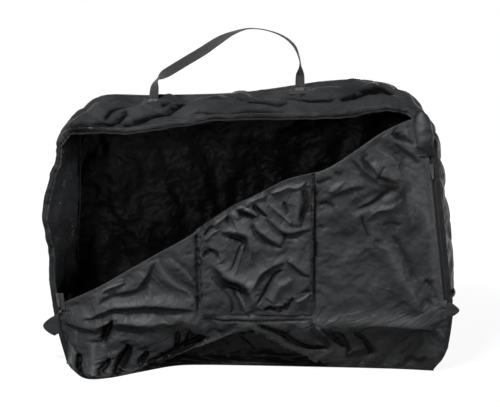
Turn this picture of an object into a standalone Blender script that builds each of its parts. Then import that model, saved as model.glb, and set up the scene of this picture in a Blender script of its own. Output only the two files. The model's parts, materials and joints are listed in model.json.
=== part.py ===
"""Soft bike travel bag: a light cloth bag for a road bike with its wheels off.

It stands open, as the bike inside holds it: back, roof, two end gussets and a base, and a front panel
that has been unzipped along the left and the top, with its top corner tucked down inside.
Metres, +Z up, the front faces -Y, and the origin is the middle of the base on the floor.
"""

import math

import bmesh
import bpy
from mathutils import Matrix, Vector

# Overall size of the bag
BAG_LENGTH = 1.24
BAG_HEIGHT = 0.84
BAG_DEPTH = 0.26

# Cloth and sewing
CLOTH = 0.0012
SEAM_GAP = 0.0004
BASE_GAP = 0.0006
BINDING_WIDTH = 0.010
BINDING_THICKNESS = 0.0014

# Bulge of the gussets and of the back
GUSSET_BULGE = 0.034
BACK_BULGE = 0.034
BACK_FOLD = 0.010
BACK_CROSS_FOLD = 0.004

# Front panel, which drops forward about a seam near the floor
HINGE_HEIGHT = 0.115
PANEL_INSET = 0.028
PANEL_BULGE = 0.030
PANEL_RISE = 0.050
PANEL_SIDE = 0.120
HINGE_GAP = 0.0013
FOOT_CROWDING = 1.8

# Rolled fold at the panel's top right corner
FOLD_WIDTH = 0.052
FOLD_HEIGHT = 0.124
FOLD_DEPTH = 0.030
FOLD_EASE = 0.0003

# Tucked corner of the front panel
FLAP_REACH = 0.26
FLAP_LEAN_SHARE = 0.25

# Pack-in pocket on the front panel
POCKET_LEFT = -0.131
POCKET_WIDTH = 0.327
POCKET_FOOT = 0.058
POCKET_SPACE = 0.009
POCKET_EDGE = 0.028
POCKET_MOUTH_DROP = 0.010
POCKET_BINDING = 0.009

# Zip
TAPE_WIDTH = 0.014
TAPE_THICKNESS = 0.0008
COIL_WIDTH = 0.0026
COIL_THICKNESS = 0.0026
CHAIN_GAP = 0.0017
RUN_CLEARANCE = 0.00035
STOP_LENGTH = 0.007
STOP_WALL = 0.0011

# Zip end tabs, which stick out as small ears
TAB_HEIGHT = 0.042
TAB_OUT = 0.022
TAB_IN = 0.016

# Slider and pull
SLIDER_LENGTH = 0.018
SLIDER_PLATE = 0.0013
SLIDER_LIP = 0.0013
BAIL_LENGTH = 0.011
BAIL_WIDTH = 0.003
BAIL_BAR = 0.0014
BAIL_WINDOW = 0.0028
PULL_LENGTH = 0.034
PULL_WIDTH = 0.009
PULL_THICKNESS = 0.0015
PULL_SIDE = 0.0020
RIGHT_SLIDER_BELOW_RUN = 0.012

# Carry strap
STRAP_WIDTH = 0.028
STRAP_THICKNESS = 0.0016
STRAP_LEFT = -0.292
STRAP_RIGHT = 0.152
STRAP_DEPTH_PLACE = 0.070
STRAP_RISE = 0.185
STRAP_SEAT = 0.0013
TAIL_LENGTH = 0.042
PATCH_WIDTH = 0.064
PATCH_LENGTH = 0.078
PATCH_BEHIND = 0.012

# A cutter's overrun past what it cuts
OVERRUN = 0.002

# Faces that meet at less than this angle are shaded as one
SMOOTH_DEGREES = 40

# Worked out from the sizes above
BASE_TOP = CLOTH + BASE_GAP
HALF_LENGTH = BAG_LENGTH / 2
HALF_DEPTH = BAG_DEPTH / 2
PANEL_BACK = -(HALF_DEPTH + SEAM_GAP)
PANEL_FACE = PANEL_BACK - CLOTH
TAPE_START = CLOTH + SEAM_GAP + SEAM_GAP / 2
COIL_START = TAPE_START + TAPE_WIDTH + SEAM_GAP
CHAIN_INSET = COIL_START + COIL_WIDTH + CHAIN_GAP / 2
SLIDER_HALF_WIDTH = CHAIN_GAP / 2 + COIL_WIDTH + RUN_CLEARANCE + SLIDER_LIP
CHANNEL_HALF = COIL_THICKNESS / 2 + RUN_CLEARANCE
SLIDER_HALF_THICKNESS = CHANNEL_HALF + SLIDER_PLATE

# Rims of the gusset strip as stations: up from the bottom left corner, over, and down to the bottom right one.
# Each row is a share of the half length, the half depth and the height.
FRONT_RIM_SHARES = (
    (-0.880, -1.00, 0.000),
    (-0.925, -1.00, 0.155),
    (-0.952, -1.00, 0.345),
    (-0.971, -1.00, 0.536),
    (-0.923, -1.00, 0.714),
    (-0.862, -1.00, 0.825),
    (-0.730, -0.97, 0.862),
    (-0.444, -0.93, 0.870),
    (-0.065, -0.92, 0.911),
    (0.397, -0.92, 0.925),
    (0.677, -0.94, 0.938),
    (0.800, -0.98, 0.893),
    (0.8645, -1.00, 0.8214),
    (0.8761, -1.00, 0.7619),
    (0.8962, -1.00, 0.6590),
    (0.9317, -1.00, 0.4767),
    (0.9728, -1.00, 0.2660),
    (0.9813, -1.00, 0.2226),
    (0.960, -1.00, 0.075),
    (0.900, -1.00, 0.000),
)
BACK_RIM_SHARES = (
    (-0.855, 1.00, 0.000),
    (-0.905, 1.00, 0.155),
    (-0.908, 1.00, 0.345),
    (-0.885, 1.00, 0.536),
    (-0.875, 1.00, 0.714),
    (-0.855, 1.00, 0.850),
    (-0.740, 1.00, 0.932),
    (-0.468, 1.00, 0.938),
    (-0.048, 1.00, 0.950),
    (0.387, 1.00, 0.994),
    (0.613, 1.00, 0.993),
    (0.760, 1.00, 0.940),
    (0.845, 1.00, 0.840),
    (0.870, 1.00, 0.765),
    (0.889, 1.00, 0.650),
    (0.915, 1.00, 0.470),
    (0.943, 1.00, 0.2660),
    (0.950, 1.00, 0.2226),
    (0.925, 1.00, 0.075),
    (0.870, 1.00, 0.000),
)
BULGE_SHARES = (
    0.00, 0.15, 0.30, 0.30, 0.35, 0.30, 0.20, 0.32, 0.20, 0.25,
    0.30, 0.45, 0.60, 0.70, 0.80, 0.90, 0.90, 0.70, 0.30, 0.00,
)
LEFT_END, ROOF_START, ROOF_END, RIGHT_START = 5.5, 5.5, 11.0, 11.0
LAST_STATION = len(FRONT_RIM_SHARES) - 1
RUN_TOP, RUN_BOTTOM = 13, 16
LEFT_STOP_STATION, LEFT_SLIDER_STATION, RIGHT_STOP_STATION = 1.24, 1.52, 16.0
GUSSET_ROWS = 6
BASE_LIP_SHARE = 0.004
FOLD_ROUND_SHARE, FOLD_TIP_SHARE, FOLD_FOOT_SHARE = 0.72, 0.12, -0.34
BINDING_START = 0.05
BACK_CROWN_SHARE, BACK_WAVE_SHARES, BACK_CROSS_SHARES = 0.8, (3.2, 1.7), (1.3, 3.1)
STATION_STEP_SHARE, STRAP_STEP_SHARE = 0.01, 0.002
PULL_TAPER_SHARE = 0.2

# Front edge of the base on the floor, as shares of the half length and the half depth.
# It spills forward at the left.
FLOOR_EDGE_SHARES = (
    (-0.880, -1.00),
    (-0.830, -1.40),
    (-0.745, -1.86),
    (-0.640, -1.80),
    (-0.500, -1.42),
    (-0.350, -1.04),
    (-0.200, -0.94),
    (0.100, -0.92),
    (0.450, -0.92),
    (0.720, -0.94),
    (0.900, -1.00),
)

# Free edge of the front panel, as shares of the half length and the height.
FREE_EDGE_SHARES = (
    (-0.874, 0.212),
    (-0.695, 0.298),
    (-0.500, 0.384),
    (-0.260, 0.487),
    (-0.210, 0.519),
    (-0.063, 0.592),
    (0.044, 0.632),
    (0.181, 0.686),
    (0.282, 0.708),
    (0.363, 0.724),
    (0.453, 0.764),
    (0.542, 0.812),
    (0.629, 0.856),
    (0.718, 0.884),
    (0.802, 0.902),
)
FLAP_FOLD_SHARES = ((-0.690, 0.290), (0.600, 0.815))

# Main folds of the front panel: both ends as shares of the half length and the height, then how far each
# stands out and how far it reaches to its sides. The first is the round edge above the hinge.
PANEL_FOLD_SHARES = (
    (-0.200, 0.167, 0.800, 0.167),
    (-0.700, 0.222, -0.360, 0.240),
    (-0.660, 0.236, -0.500, 0.300),
    (0.600, 0.474, 0.780, 0.255),
    (0.513, 0.600, 0.640, 0.655),
    (0.600, 0.725, 0.700, 0.680),
)
PANEL_FOLD_HEIGHTS = (0.008, 0.006, -0.006, 0.009, -0.008, 0.008)
PANEL_FOLD_REACHES = (0.020, 0.036, 0.030, 0.040, 0.030, 0.035)
FLAP_REACH_SHARES = (0.28, 0.60, 0.85, 1.00, 0.95, 0.80, 0.60, 0.40, 0.20)

# Strap: shares of the span and of the rise, and the turn of its width from the depth direction in degrees.
STRAP_SHARES = (
    (0.000, 0.000, 90),
    (0.003, 0.090, 80),
    (0.010, 0.185, 63),
    (0.030, 0.300, 15),
    (0.062, 0.360, 50),
    (0.120, 0.430, 86),
    (0.225, 0.560, 88),
    (0.340, 0.700, 80),
    (0.450, 0.850, 55),
    (0.550, 0.950, 20),
    (0.655, 1.000, 2),
    (0.775, 0.950, 0),
    (0.885, 0.830, 6),
    (0.960, 0.660, 12),
    (0.995, 0.450, 5),
    (1.000, 0.320, 15),
    (1.000, 0.200, 60),
    (1.000, 0.100, 79),
    (1.000, 0.000, 90),
)

COLOURS = {
    "nylon": ((0.030, 0.031, 0.032), 0.45, 0.0),
    "webbing": ((0.028, 0.027, 0.028), 0.75, 0.0),
    "tape": ((0.020, 0.020, 0.021), 0.8, 0.0),
    "coil": ((0.018, 0.018, 0.019), 0.4, 0.0),
    "metal": ((0.060, 0.060, 0.063), 0.35, 0.9),
}


def clear_scene():
    for item in list(bpy.data.objects):
        bpy.data.objects.remove(item)


def material(name, slot):
    colour, roughness, metallic = COLOURS[slot]
    made = bpy.data.materials.new(name + "_" + slot)
    made.use_nodes = True
    shader = made.node_tree.nodes["Principled BSDF"]
    shader.inputs["Base Color"].default_value = (*colour, 1.0)
    shader.inputs["Roughness"].default_value = roughness
    shader.inputs["Metallic"].default_value = metallic
    return made


def add_object(name, points, faces, slot):
    mesh = bpy.data.meshes.new(name)
    mesh.from_pydata([tuple(p) for p in points], [], faces)
    mesh.shade_smooth()
    mesh.set_sharp_from_angle(angle=math.radians(SMOOTH_DEGREES))
    mesh.materials.append(material(name, slot))
    made = bpy.data.objects.new(name, mesh)
    bpy.context.scene.collection.objects.link(made)
    return made


def ramp(x):
    """Smooth step from 0 at 0 to 1 at 1."""
    x = min(max(x, 0.0), 1.0)
    return x * x * (3 - 2 * x)


def spline(rows, s):
    """Point at station s of an open Catmull-Rom curve through rows of numbers."""
    last = len(rows) - 1
    i = min(int(math.floor(s)), last - 1)
    t = s - i
    p1, p2 = rows[i], rows[i + 1]
    p0 = rows[i - 1] if i > 0 else [2 * a - b for a, b in zip(p1, p2)]
    p3 = rows[i + 2] if i + 2 <= last else [2 * b - a for a, b in zip(p1, p2)]
    return [
        0.5 * (2 * b + (c - a) * t + (2 * a - 5 * b + 4 * c - d) * t ** 2 + (3 * b - a - 3 * c + d) * t ** 3)
        for a, b, c, d in zip(p0, p1, p2, p3)
    ]


def halve(low, high, before):
    """Place between low and high up to which before(place) holds."""
    for _ in range(40):
        middle = (low + high) / 2
        if before(middle):
            low = middle
        else:
            high = middle
    return (low + high) / 2


def from_shares(x, y, z):
    return Vector((x * HALF_LENGTH, y * HALF_DEPTH, BASE_TOP + z * (BAG_HEIGHT - BASE_TOP)))


def front_rim(s):
    return from_shares(*spline(FRONT_RIM_SHARES, s))


def back_rim(s):
    return from_shares(*spline(BACK_RIM_SHARES, s))


def outward(s):
    """Unit vector out of the bag at station s of the front rim, in the plane of the mouth."""
    step = STATION_STEP_SHARE
    ahead = front_rim(min(s + step, LAST_STATION)) - front_rim(max(s - step, 0.0))
    return Vector((-ahead.z, 0.0, ahead.x)).normalized()


def gusset(s, v, lift=0.0):
    """Point of the gusset strip's outer face: v runs from the front rim at 0 to the back rim at 1."""
    share = spline([(b,) for b in BULGE_SHARES], s)[0]
    bulge = GUSSET_BULGE * share * math.sin(math.pi * v) ** 2
    near, far = front_rim(s), back_rim(s)
    far.y -= SEAM_GAP
    return near.lerp(far, v) + outward(s) * (bulge + lift)


def grid(name, point, us, vs, thickness, side, slot, flip=False):
    """A sheet through point(u, v), thickened along its normals for side 1 or against them for side -1."""
    points = [point(u, v) for u in us for v in vs]
    rows = len(vs)
    faces = []
    for i in range(len(us) - 1):
        for j in range(rows - 1):
            a = i * rows + j
            b = a + rows
            face = (a, b, b + 1, a + 1)
            faces.append(face[::-1] if flip else face)
    made = add_object(name, points, faces, slot)
    solid = made.modifiers.new("cloth", "SOLIDIFY")
    solid.thickness = thickness
    solid.offset = side
    return made


def sweep(name, rings, slot):
    """A closed bar through rings with the same number of corners, with flat ends."""
    count = len(rings[0])
    points = [p for ring in rings for p in ring]
    faces = []
    for i in range(len(rings) - 1):
        for j in range(count):
            a, b = i * count + j, i * count + (j + 1) % count
            faces.append((a, b, b + count, a + count))
    faces.append(tuple(reversed(range(count))))
    faces.append(tuple((len(rings) - 1) * count + j for j in range(count)))
    made = add_object(name, points, faces, slot)
    mesh = bmesh.new()
    mesh.from_mesh(made.data)
    bmesh.ops.recalc_face_normals(mesh, faces=mesh.faces)
    mesh.to_mesh(made.data)
    mesh.free()
    return made


def spread(first, last, count):
    return [first + (last - first) * i / count for i in range(count + 1)]


def even(count):
    return spread(0.0, 1.0, count)


def crowded(count):
    """Shares from 0 to 1 that lie closer together at both ends."""
    return [0.5 - 0.5 * math.cos(math.pi * i / count) for i in range(count + 1)]


def breaks(first, last):
    """Stations from first to last with the quarter stations between, so that strips side by side bend alike."""
    quarters = [k / 4 for k in range(math.floor(first * 4) + 1, math.ceil(last * 4))]
    return [first] + [s for s in quarters if first < s < last] + [last]


# Gusset strip, back, base and skirt


def make_gussets():
    parts = (
        ("left_gusset", 0.0, LEFT_END),
        ("roof_panel", ROOF_START, ROOF_END),
        ("right_gusset", RIGHT_START, float(LAST_STATION)),
    )
    for name, first, last in parts:
        start = first + seam_share(first) * (first > 0)
        end = last - seam_share(last) * (last < LAST_STATION)
        grid(name, gusset, breaks(start, end), even(GUSSET_ROWS), CLOTH, -1, "nylon")


def seam_share(s):
    """A seam gap at station s of the front rim, in stations."""
    step = STATION_STEP_SHARE
    return SEAM_GAP * step / (front_rim(s + step) - front_rim(s)).length


def back_point(u, v):
    """Inner face of the back panel: a patch between the four sides of the back rim."""
    left, right = back_rim(v * LEFT_END), back_rim(LAST_STATION - v * (LAST_STATION - ROOF_END))
    foot = back_rim(0.0).lerp(back_rim(LAST_STATION), u)
    top = back_rim(ROOF_START + u * (ROOF_END - ROOF_START))
    c00, c10 = back_rim(0.0), back_rim(LAST_STATION)
    c01, c11 = back_rim(ROOF_START), back_rim(ROOF_END)
    point = left.lerp(right, u) + foot.lerp(top, v) - c00.lerp(c10, u).lerp(c01.lerp(c11, u), v)
    crown = math.sin(math.pi * u) * math.sin(math.pi * v)
    wave = math.sin(math.pi * (BACK_WAVE_SHARES[0] * u + BACK_WAVE_SHARES[1] * v))
    cross = math.sin(math.pi * (BACK_CROSS_SHARES[0] * u - BACK_CROSS_SHARES[1] * v))
    folds = (BACK_FOLD * wave + BACK_CROSS_FOLD * cross) * crown
    point.y = HALF_DEPTH + SEAM_GAP + BACK_BULGE * crown ** BACK_CROWN_SHARE + folds
    return point


def make_back():
    grid("back_panel", back_point, even(26), even(17), CLOTH, 1, "nylon", flip=True)


def binding_point(s, v):
    """Point of the inside face beside the back rim, on the gusset strip's last row of faces."""
    row = BAG_DEPTH / GUSSET_ROWS
    inner, outer = 1 - BINDING_WIDTH / row, 1 - SEAM_GAP / row
    lift = -(CLOTH + 2 * SEAM_GAP)
    near, far = gusset(s, 1 - 1 / GUSSET_ROWS, lift), gusset(s, 1.0, lift)
    return near.lerp(far, inner + (outer - inner) * v)


def make_binding():
    """Bound seam between the gusset strip and the back, on the inside."""
    ends = (BINDING_START, LAST_STATION - BINDING_START)
    grid("back_seam_binding", binding_point, breaks(*ends), even(1), BINDING_THICKNESS, -1, "tape")


def at_x(rows, x):
    """Row of shares at x on a curve through rows that run from left to right."""
    return spline(rows, halve(0.0, len(rows) - 1, lambda s: spline(rows, s)[0] < x))


def floor_edge(share):
    """Front edge of the base on the floor, from the bottom left corner at 0 to the bottom right one at 1."""
    first, last = FLOOR_EDGE_SHARES[0][0], FLOOR_EDGE_SHARES[-1][0]
    x = first + (last - first) * share
    return Vector((x * HALF_LENGTH, at_x(FLOOR_EDGE_SHARES, x)[1] * HALF_DEPTH - SEAM_GAP, BASE_TOP))


def base_point(u, v):
    """Underside of the base, a little past the gussets that stand on it."""
    front = floor_edge(u)
    back = back_rim(0.0).lerp(back_rim(LAST_STATION), u)
    front.y -= 2 * CLOTH
    back.y += SEAM_GAP + CLOTH
    point = front.lerp(back, v)
    point.x += (2 * u - 1) * BASE_LIP_SHARE * BAG_LENGTH
    point.z = 0.0
    return point


def make_base():
    grid("base_panel", base_point, even(30), even(3), CLOTH, 1, "nylon")


def skirt_point(u, v):
    """Inner face of the front's lowest strip, from the floor at v 0 to the hinge line at v 1."""
    foot = floor_edge(u)
    left = rim_at_height(HINGE_HEIGHT, 0.0, LEFT_END)
    right = rim_at_height(HINGE_HEIGHT, LAST_STATION, RUN_BOTTOM)
    head = left.lerp(right, u)
    head.y = PANEL_BACK
    head.z = HINGE_HEIGHT - HINGE_GAP / 2
    point = foot.lerp(head, v)
    edge = front_rim(0.0).lerp(left, v) if u < 0.5 else front_rim(LAST_STATION).lerp(right, v)
    point.y = min(point.y, edge.y - SEAM_GAP) if u in (0.0, 1.0) else point.y
    return point


def make_skirt():
    grid("front_skirt", skirt_point, even(30), even(4), CLOTH, 1, "nylon")


# Front panel and what is sewn on it


def rim_at_height(z, low, high):
    """Point of the front rim at height z, between two stations of which the first is the lower."""
    return front_rim(halve(low, high, lambda s: front_rim(s).z < z))


def run_direction():
    """Down the straight run of the closed zip on the right."""
    return (front_rim(RUN_BOTTOM) - front_rim(RUN_TOP)).normalized()


def run_line(inset, z):
    """Point at height z of the line at that inset from the right rim's straight run."""
    inward = -outward((RUN_TOP + RUN_BOTTOM) / 2)
    start = front_rim(RUN_TOP) + inward * inset
    way = run_direction()
    return start + way * ((z - start.z) / way.z)


def free_edge(share):
    x, z = spline(FREE_EDGE_SHARES, share * (len(FREE_EDGE_SHARES) - 1))
    return from_shares(x, -1.0, z)


def panel_left():
    return rim_at_height(HINGE_HEIGHT, 0.0, LEFT_END).x + PANEL_INSET


def panel_folds(x, z):
    """How far the front panel's main folds stand out at x and z: ridges above zero, valleys below."""
    here = Vector((x, 0, z))
    total = 0.0
    for (x0, z0, x1, z1), height, reach in zip(PANEL_FOLD_SHARES, PANEL_FOLD_HEIGHTS, PANEL_FOLD_REACHES):
        start, end = from_shares(x0, 0, z0), from_shares(x1, 0, z1)
        along = end - start
        share = min(max((here - start).dot(along) / along.length_squared, 0.0), 1.0)
        gap = (here - start.lerp(end, share)).length / reach
        total += height * max(1 - gap ** 2, 0.0) ** 2
    return total


def panel_y(x, z):
    """Inner face of the front panel: folded over the middle, and back in the mouth's plane at its edges."""
    rise = ramp((z - HINGE_HEIGHT) / PANEL_RISE)
    left = ramp((x - free_edge(0.0).x) / PANEL_SIDE)
    right = ramp((run_line(PANEL_INSET, z).x - x) / PANEL_SIDE)
    return PANEL_BACK - (PANEL_BULGE * rise + panel_folds(x, z) * min(2 * rise, 1.0)) * left * right


def panel_point(u, v):
    foot = Vector((panel_left(), PANEL_BACK, HINGE_HEIGHT + HINGE_GAP / 2))
    foot.x += (run_line(PANEL_INSET, foot.z).x - foot.x) * u
    top = free_edge(u)
    if u == 1.0:
        top = run_line(PANEL_INSET, top.z)
    point = foot.lerp(top, v ** FOOT_CROWDING)
    point.y = panel_y(point.x, point.z)
    return point


def make_front_panel():
    columns = [(a + b) / 2 for a, b in zip(even(34), crowded(34))]
    grid("front_panel", panel_point, columns, even(16), CLOTH, 1, "nylon")


def corner_point(u, v):
    """The rolled fold stands on the panel's top right corner and is round at its top."""
    top = front_rim(RUN_TOP - 1)
    centre_x = top.x - FOLD_WIDTH / 2
    past = max(v - FOLD_ROUND_SHARE, 0.0) / (1 - FOLD_ROUND_SHARE)
    size = max(math.sqrt(1 - past ** 2), FOLD_TIP_SHARE)
    turn = math.pi * u
    z = top.z + FOLD_HEIGHT * (v + FOLD_FOOT_SHARE)
    x = centre_x - FOLD_WIDTH / 2 * size * math.cos(turn) - run_direction().x * FOLD_HEIGHT * v
    base = min(panel_y(x, z) - CLOTH, PANEL_FACE) - SEAM_GAP - FOLD_EASE * (1 - u)
    return Vector((x, base - FOLD_DEPTH * size * math.sin(turn), z))


def make_corner_fold():
    grid("corner_fold", corner_point, even(10), even(9), CLOTH, -1, "nylon")


def pocket_hem():
    return POCKET_BINDING / 2 + SEAM_GAP


def pocket_point(x, v):
    """Inner face of the pocket: its hem lies on the panel, for v below 0, and its top is open."""
    foot = HINGE_HEIGHT + POCKET_FOOT + pocket_hem()
    top = edge_height(x) - POCKET_MOUTH_DROP
    z = foot + (top - foot) * v if v >= 0 else foot - pocket_hem()
    side = min(x - POCKET_LEFT, POCKET_LEFT + POCKET_WIDTH - x) - pocket_hem()
    lift = ramp(side / POCKET_EDGE) * ramp((z - foot) / POCKET_EDGE)
    return Vector((x, panel_y(x, z) - CLOTH - SEAM_GAP - POCKET_SPACE * lift, z))


def edge_height(x):
    """Height of the free edge above x."""
    return from_shares(0, 0, at_x(FREE_EDGE_SHARES, x / HALF_LENGTH)[1]).z


def pocket_route():
    """The pocket's sewn edge: down its left side, along its foot and up its right side."""
    foot = HINGE_HEIGHT + POCKET_FOOT
    right = POCKET_LEFT + POCKET_WIDTH
    tops = [edge_height(x) - POCKET_MOUTH_DROP for x in (POCKET_LEFT, right)]
    return (
        (POCKET_LEFT, tops[0], -1, 0),
        (POCKET_LEFT, foot, -1, -1),
        (right, foot, 1, -1),
        (right, tops[1], 1, 0),
    )


def make_pocket():
    right = POCKET_LEFT + POCKET_WIDTH
    inner = [POCKET_LEFT + pocket_hem() + (POCKET_WIDTH - 2 * pocket_hem()) * share for share in crowded(14)]
    columns = [POCKET_LEFT] + inner + [right]
    rows = [-1.0] + [share ** FOOT_CROWDING for share in even(10)]
    grid("pocket_panel", pocket_point, columns, rows, CLOTH, 1, "nylon")
    face = PANEL_FACE - PANEL_BULGE - 2 * SEAM_GAP - CLOTH
    rings = []
    for x, z, out_x, out_z in pocket_route():
        inner = (x - out_x * POCKET_BINDING / 2, z - out_z * POCKET_BINDING / 2)
        outer = (x + out_x * POCKET_BINDING / 2, z + out_z * POCKET_BINDING / 2)
        rings.append([
            Vector((inner[0], face, inner[1])),
            Vector((outer[0], face, outer[1])),
            Vector((outer[0], face - BINDING_THICKNESS, outer[1])),
            Vector((inner[0], face - BINDING_THICKNESS, inner[1])),
        ])
    sweep("pocket_binding", rings, "nylon")


# Tucked corner


def flap_fold(share):
    (x0, z0), (x1, z1) = FLAP_FOLD_SHARES
    point = from_shares(x0, 0, z0).lerp(from_shares(x1, 0, z1), share)
    point.y = PANEL_BACK - PANEL_BULGE
    return point


def flap_point(u, past):
    """Face of the tucked corner that looks at the panel: it hangs from its fold and leans into the bag."""
    along = (flap_fold(1.0) - flap_fold(0.0)).normalized()
    down = Vector((along.z, 0, -along.x))
    share = spline([(r,) for r in FLAP_REACH_SHARES], u * (len(FLAP_REACH_SHARES) - 1))[0]
    reach = FLAP_REACH * share + past if past > 0 else FLAP_REACH * share * -past
    point = flap_fold(u) + down * reach
    point.y = panel_y(point.x, point.z) + SEAM_GAP + reach * FLAP_LEAN_SHARE
    return point


def make_flap():
    columns = even(28)
    tape = 2 * SEAM_GAP
    grid("tucked_flap", lambda u, v: flap_point(u, -v), columns, even(5), CLOTH, 1, "nylon")
    along_edge = lambda u, v: flap_point(u, tape + TAPE_WIDTH * v)
    grid("flap_zip_tape", along_edge, columns, even(1), TAPE_THICKNESS, 1, "tape")
    rings = []
    for u in columns:
        start = tape + TAPE_WIDTH + SEAM_GAP
        near, far = flap_point(u, start), flap_point(u, start + COIL_WIDTH)
        deep = Vector((0, COIL_THICKNESS, 0))
        rings.append([near, far, far + deep, near + deep])
    sweep("flap_zip_coil", rings, "coil")


# Zip round the mouth


def mouth_point(s, inset, y):
    point = front_rim(s) - outward(s) * inset
    point.y += y
    return point


def tape_point(s, v):
    return mouth_point(s, TAPE_START + TAPE_WIDTH * v, 0.0)


def mouth_coil(name, stations):
    low = (TAPE_THICKNESS - COIL_THICKNESS) / 2
    rings = []
    for s in stations:
        rings.append([
            mouth_point(s, COIL_START, low),
            mouth_point(s, COIL_START, low + COIL_THICKNESS),
            mouth_point(s, COIL_START + COIL_WIDTH, low + COIL_THICKNESS),
            mouth_point(s, COIL_START + COIL_WIDTH, low),
        ])
    sweep(name, rings, "coil")


def make_mouth_zip():
    runs = (
        ("left", LEFT_STOP_STATION, LEFT_END),
        ("top", ROOF_START, ROOF_END),
        ("right", RIGHT_START, RIGHT_STOP_STATION),
    )
    for name, first, last in runs:
        stations = breaks(first + seam_share(first), last - seam_share(last))
        grid("zip_tape_" + name, tape_point, stations, even(1), TAPE_THICKNESS, 1, "tape")
        mouth_coil("zip_coil_" + name, stations)


def chain_frame(point, up):
    """Axes of a slider: up the chain, across it into the bag's mouth, and out of its front face."""
    out = Vector((0, -1, 0))
    across = up.cross(out).normalized()
    return Matrix.Translation(point) @ Matrix((across, out, up)).transposed().to_4x4()


def chain_foot(station):
    return mouth_point(station, CHAIN_INSET, TAPE_THICKNESS / 2)


def left_chain():
    """Foot of the left chain, the way up it, and how far up its slider stands."""
    foot = chain_foot(LEFT_STOP_STATION)
    slider = chain_foot(LEFT_SLIDER_STATION)
    return foot, (slider - foot).normalized(), (slider - foot).length


def right_chain():
    """Foot of the right chain, the way up it, and how long its closed run is."""
    foot = chain_foot(RIGHT_STOP_STATION)
    return foot, -run_direction(), (chain_foot(RUN_TOP) - foot).length


def prism(name, outline, first, last, frame, slot):
    """An outline in the across and out directions, drawn up from first to last."""
    rings = [[frame @ Vector((x, y, z)) for x, y in outline] for z in (first, last)]
    return sweep(name, rings, slot)


def rectangle(x0, x1, y0, y1):
    return ((x0, y0), (x1, y0), (x1, y1), (x0, y1))


def combine(target, operation, other):
    step = target.modifiers.new(operation.lower(), "BOOLEAN")
    step.operation = operation
    step.solver = "EXACT"
    step.object = other
    other.hide_render = True
    other.display_type = "WIRE"


def slider_outline():
    wide, lip = SLIDER_HALF_WIDTH, SLIDER_HALF_WIDTH - SLIDER_LIP
    post = CHAIN_GAP / 2 - RUN_CLEARANCE
    slot = TAPE_THICKNESS / 2 + RUN_CLEARANCE
    quarter = (
        (wide, SLIDER_HALF_THICKNESS), (wide, slot), (lip, slot), (lip, CHANNEL_HALF), (post, CHANNEL_HALF),
    )
    lower = [(x, -y) for x, y in reversed(quarter)]
    right = list(quarter) + lower
    return right + [(-x, -y) for x, y in right]


def make_slider(name, frame):
    body = prism(name, slider_outline(), -SLIDER_LENGTH / 2, SLIDER_LENGTH / 2, frame, "metal")
    # The bail is an arch along the slider, through which the pull's bar passes.
    top = SLIDER_HALF_THICKNESS + BAIL_WINDOW + BAIL_BAR
    root = SLIDER_HALF_THICKNESS - SLIDER_PLATE / 2
    end, inner = BAIL_LENGTH / 2, BAIL_LENGTH / 2 - BAIL_BAR
    arch = (
        (-end, root), (-end, top - BAIL_BAR), (-end + BAIL_BAR, top),
        (end - BAIL_BAR, top), (end, top - BAIL_BAR), (end, root),
        (inner, root), (inner, top - BAIL_BAR), (-inner, top - BAIL_BAR), (-inner, root),
    )
    rings = [[frame @ Vector((x, y, z)) for z, y in arch] for x in (-BAIL_WIDTH / 2, BAIL_WIDTH / 2)]
    combine(body, "UNION", sweep(name + "_bail_tool", rings, "metal"))


def pull_axis():
    """Height of the pull's bar over the chain's middle."""
    return SLIDER_HALF_THICKNESS + BAIL_WINDOW / 2


def make_pull(name, frame):
    """A flat tab that hangs from the bail by the bar above its eye."""
    y0, y1 = pull_axis() - PULL_THICKNESS / 2, pull_axis() + PULL_THICKNESS / 2
    half, bar = PULL_WIDTH / 2, PULL_THICKNESS / 2
    eye = half - PULL_SIDE
    eye_foot = -(BAIL_LENGTH / 2 + 2 * RUN_CLEARANCE)
    taper = PULL_WIDTH * PULL_TAPER_SHARE
    outer = (
        (-half, bar), (half, bar), (half, eye_foot - PULL_SIDE),
        (half - taper, -PULL_LENGTH + taper), (half - 2 * taper, -PULL_LENGTH),
        (-half + 2 * taper, -PULL_LENGTH), (-half + taper, -PULL_LENGTH + taper), (-half, eye_foot - PULL_SIDE),
    )
    rings = [[frame @ Vector((x, y, z)) for x, z in outer] for y in (y0, y1)]
    tab = sweep(name, rings, "metal")
    hole = ((-eye, -bar), (eye, -bar), (eye, eye_foot), (-eye, eye_foot))
    rings = [[frame @ Vector((x, y, z)) for x, z in hole] for y in (y0 - OVERRUN, y1 + OVERRUN)]
    combine(tab, "DIFFERENCE", sweep(name + "_eye_tool", rings, "metal"))


def right_slider_frame():
    foot, up, length = right_chain()
    return chain_frame(foot + up * (length - RIGHT_SLIDER_BELOW_RUN - SLIDER_LENGTH / 2), up)


def left_slider_frame():
    foot, up, height = left_chain()
    return chain_frame(foot + up * height, up)


def make_sliders():
    make_slider("right_slider", right_slider_frame())
    make_pull("right_pull", right_slider_frame())
    make_slider("left_slider", left_slider_frame())
    make_pull("left_pull", left_slider_frame())


def make_stops():
    """Crimped stops that end the zip at both feet."""
    half = CHAIN_GAP / 2 + COIL_WIDTH + STOP_WALL
    deep = COIL_THICKNESS / 2 + STOP_WALL
    outline = rectangle(-half, half, -deep, deep)
    for name, chain in (("zip_stop_left", left_chain()), ("zip_stop_right", right_chain())):
        foot, up, _ = chain
        prism(name, outline, -STOP_LENGTH - SEAM_GAP, -SEAM_GAP, chain_frame(foot, up), "metal")


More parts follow.
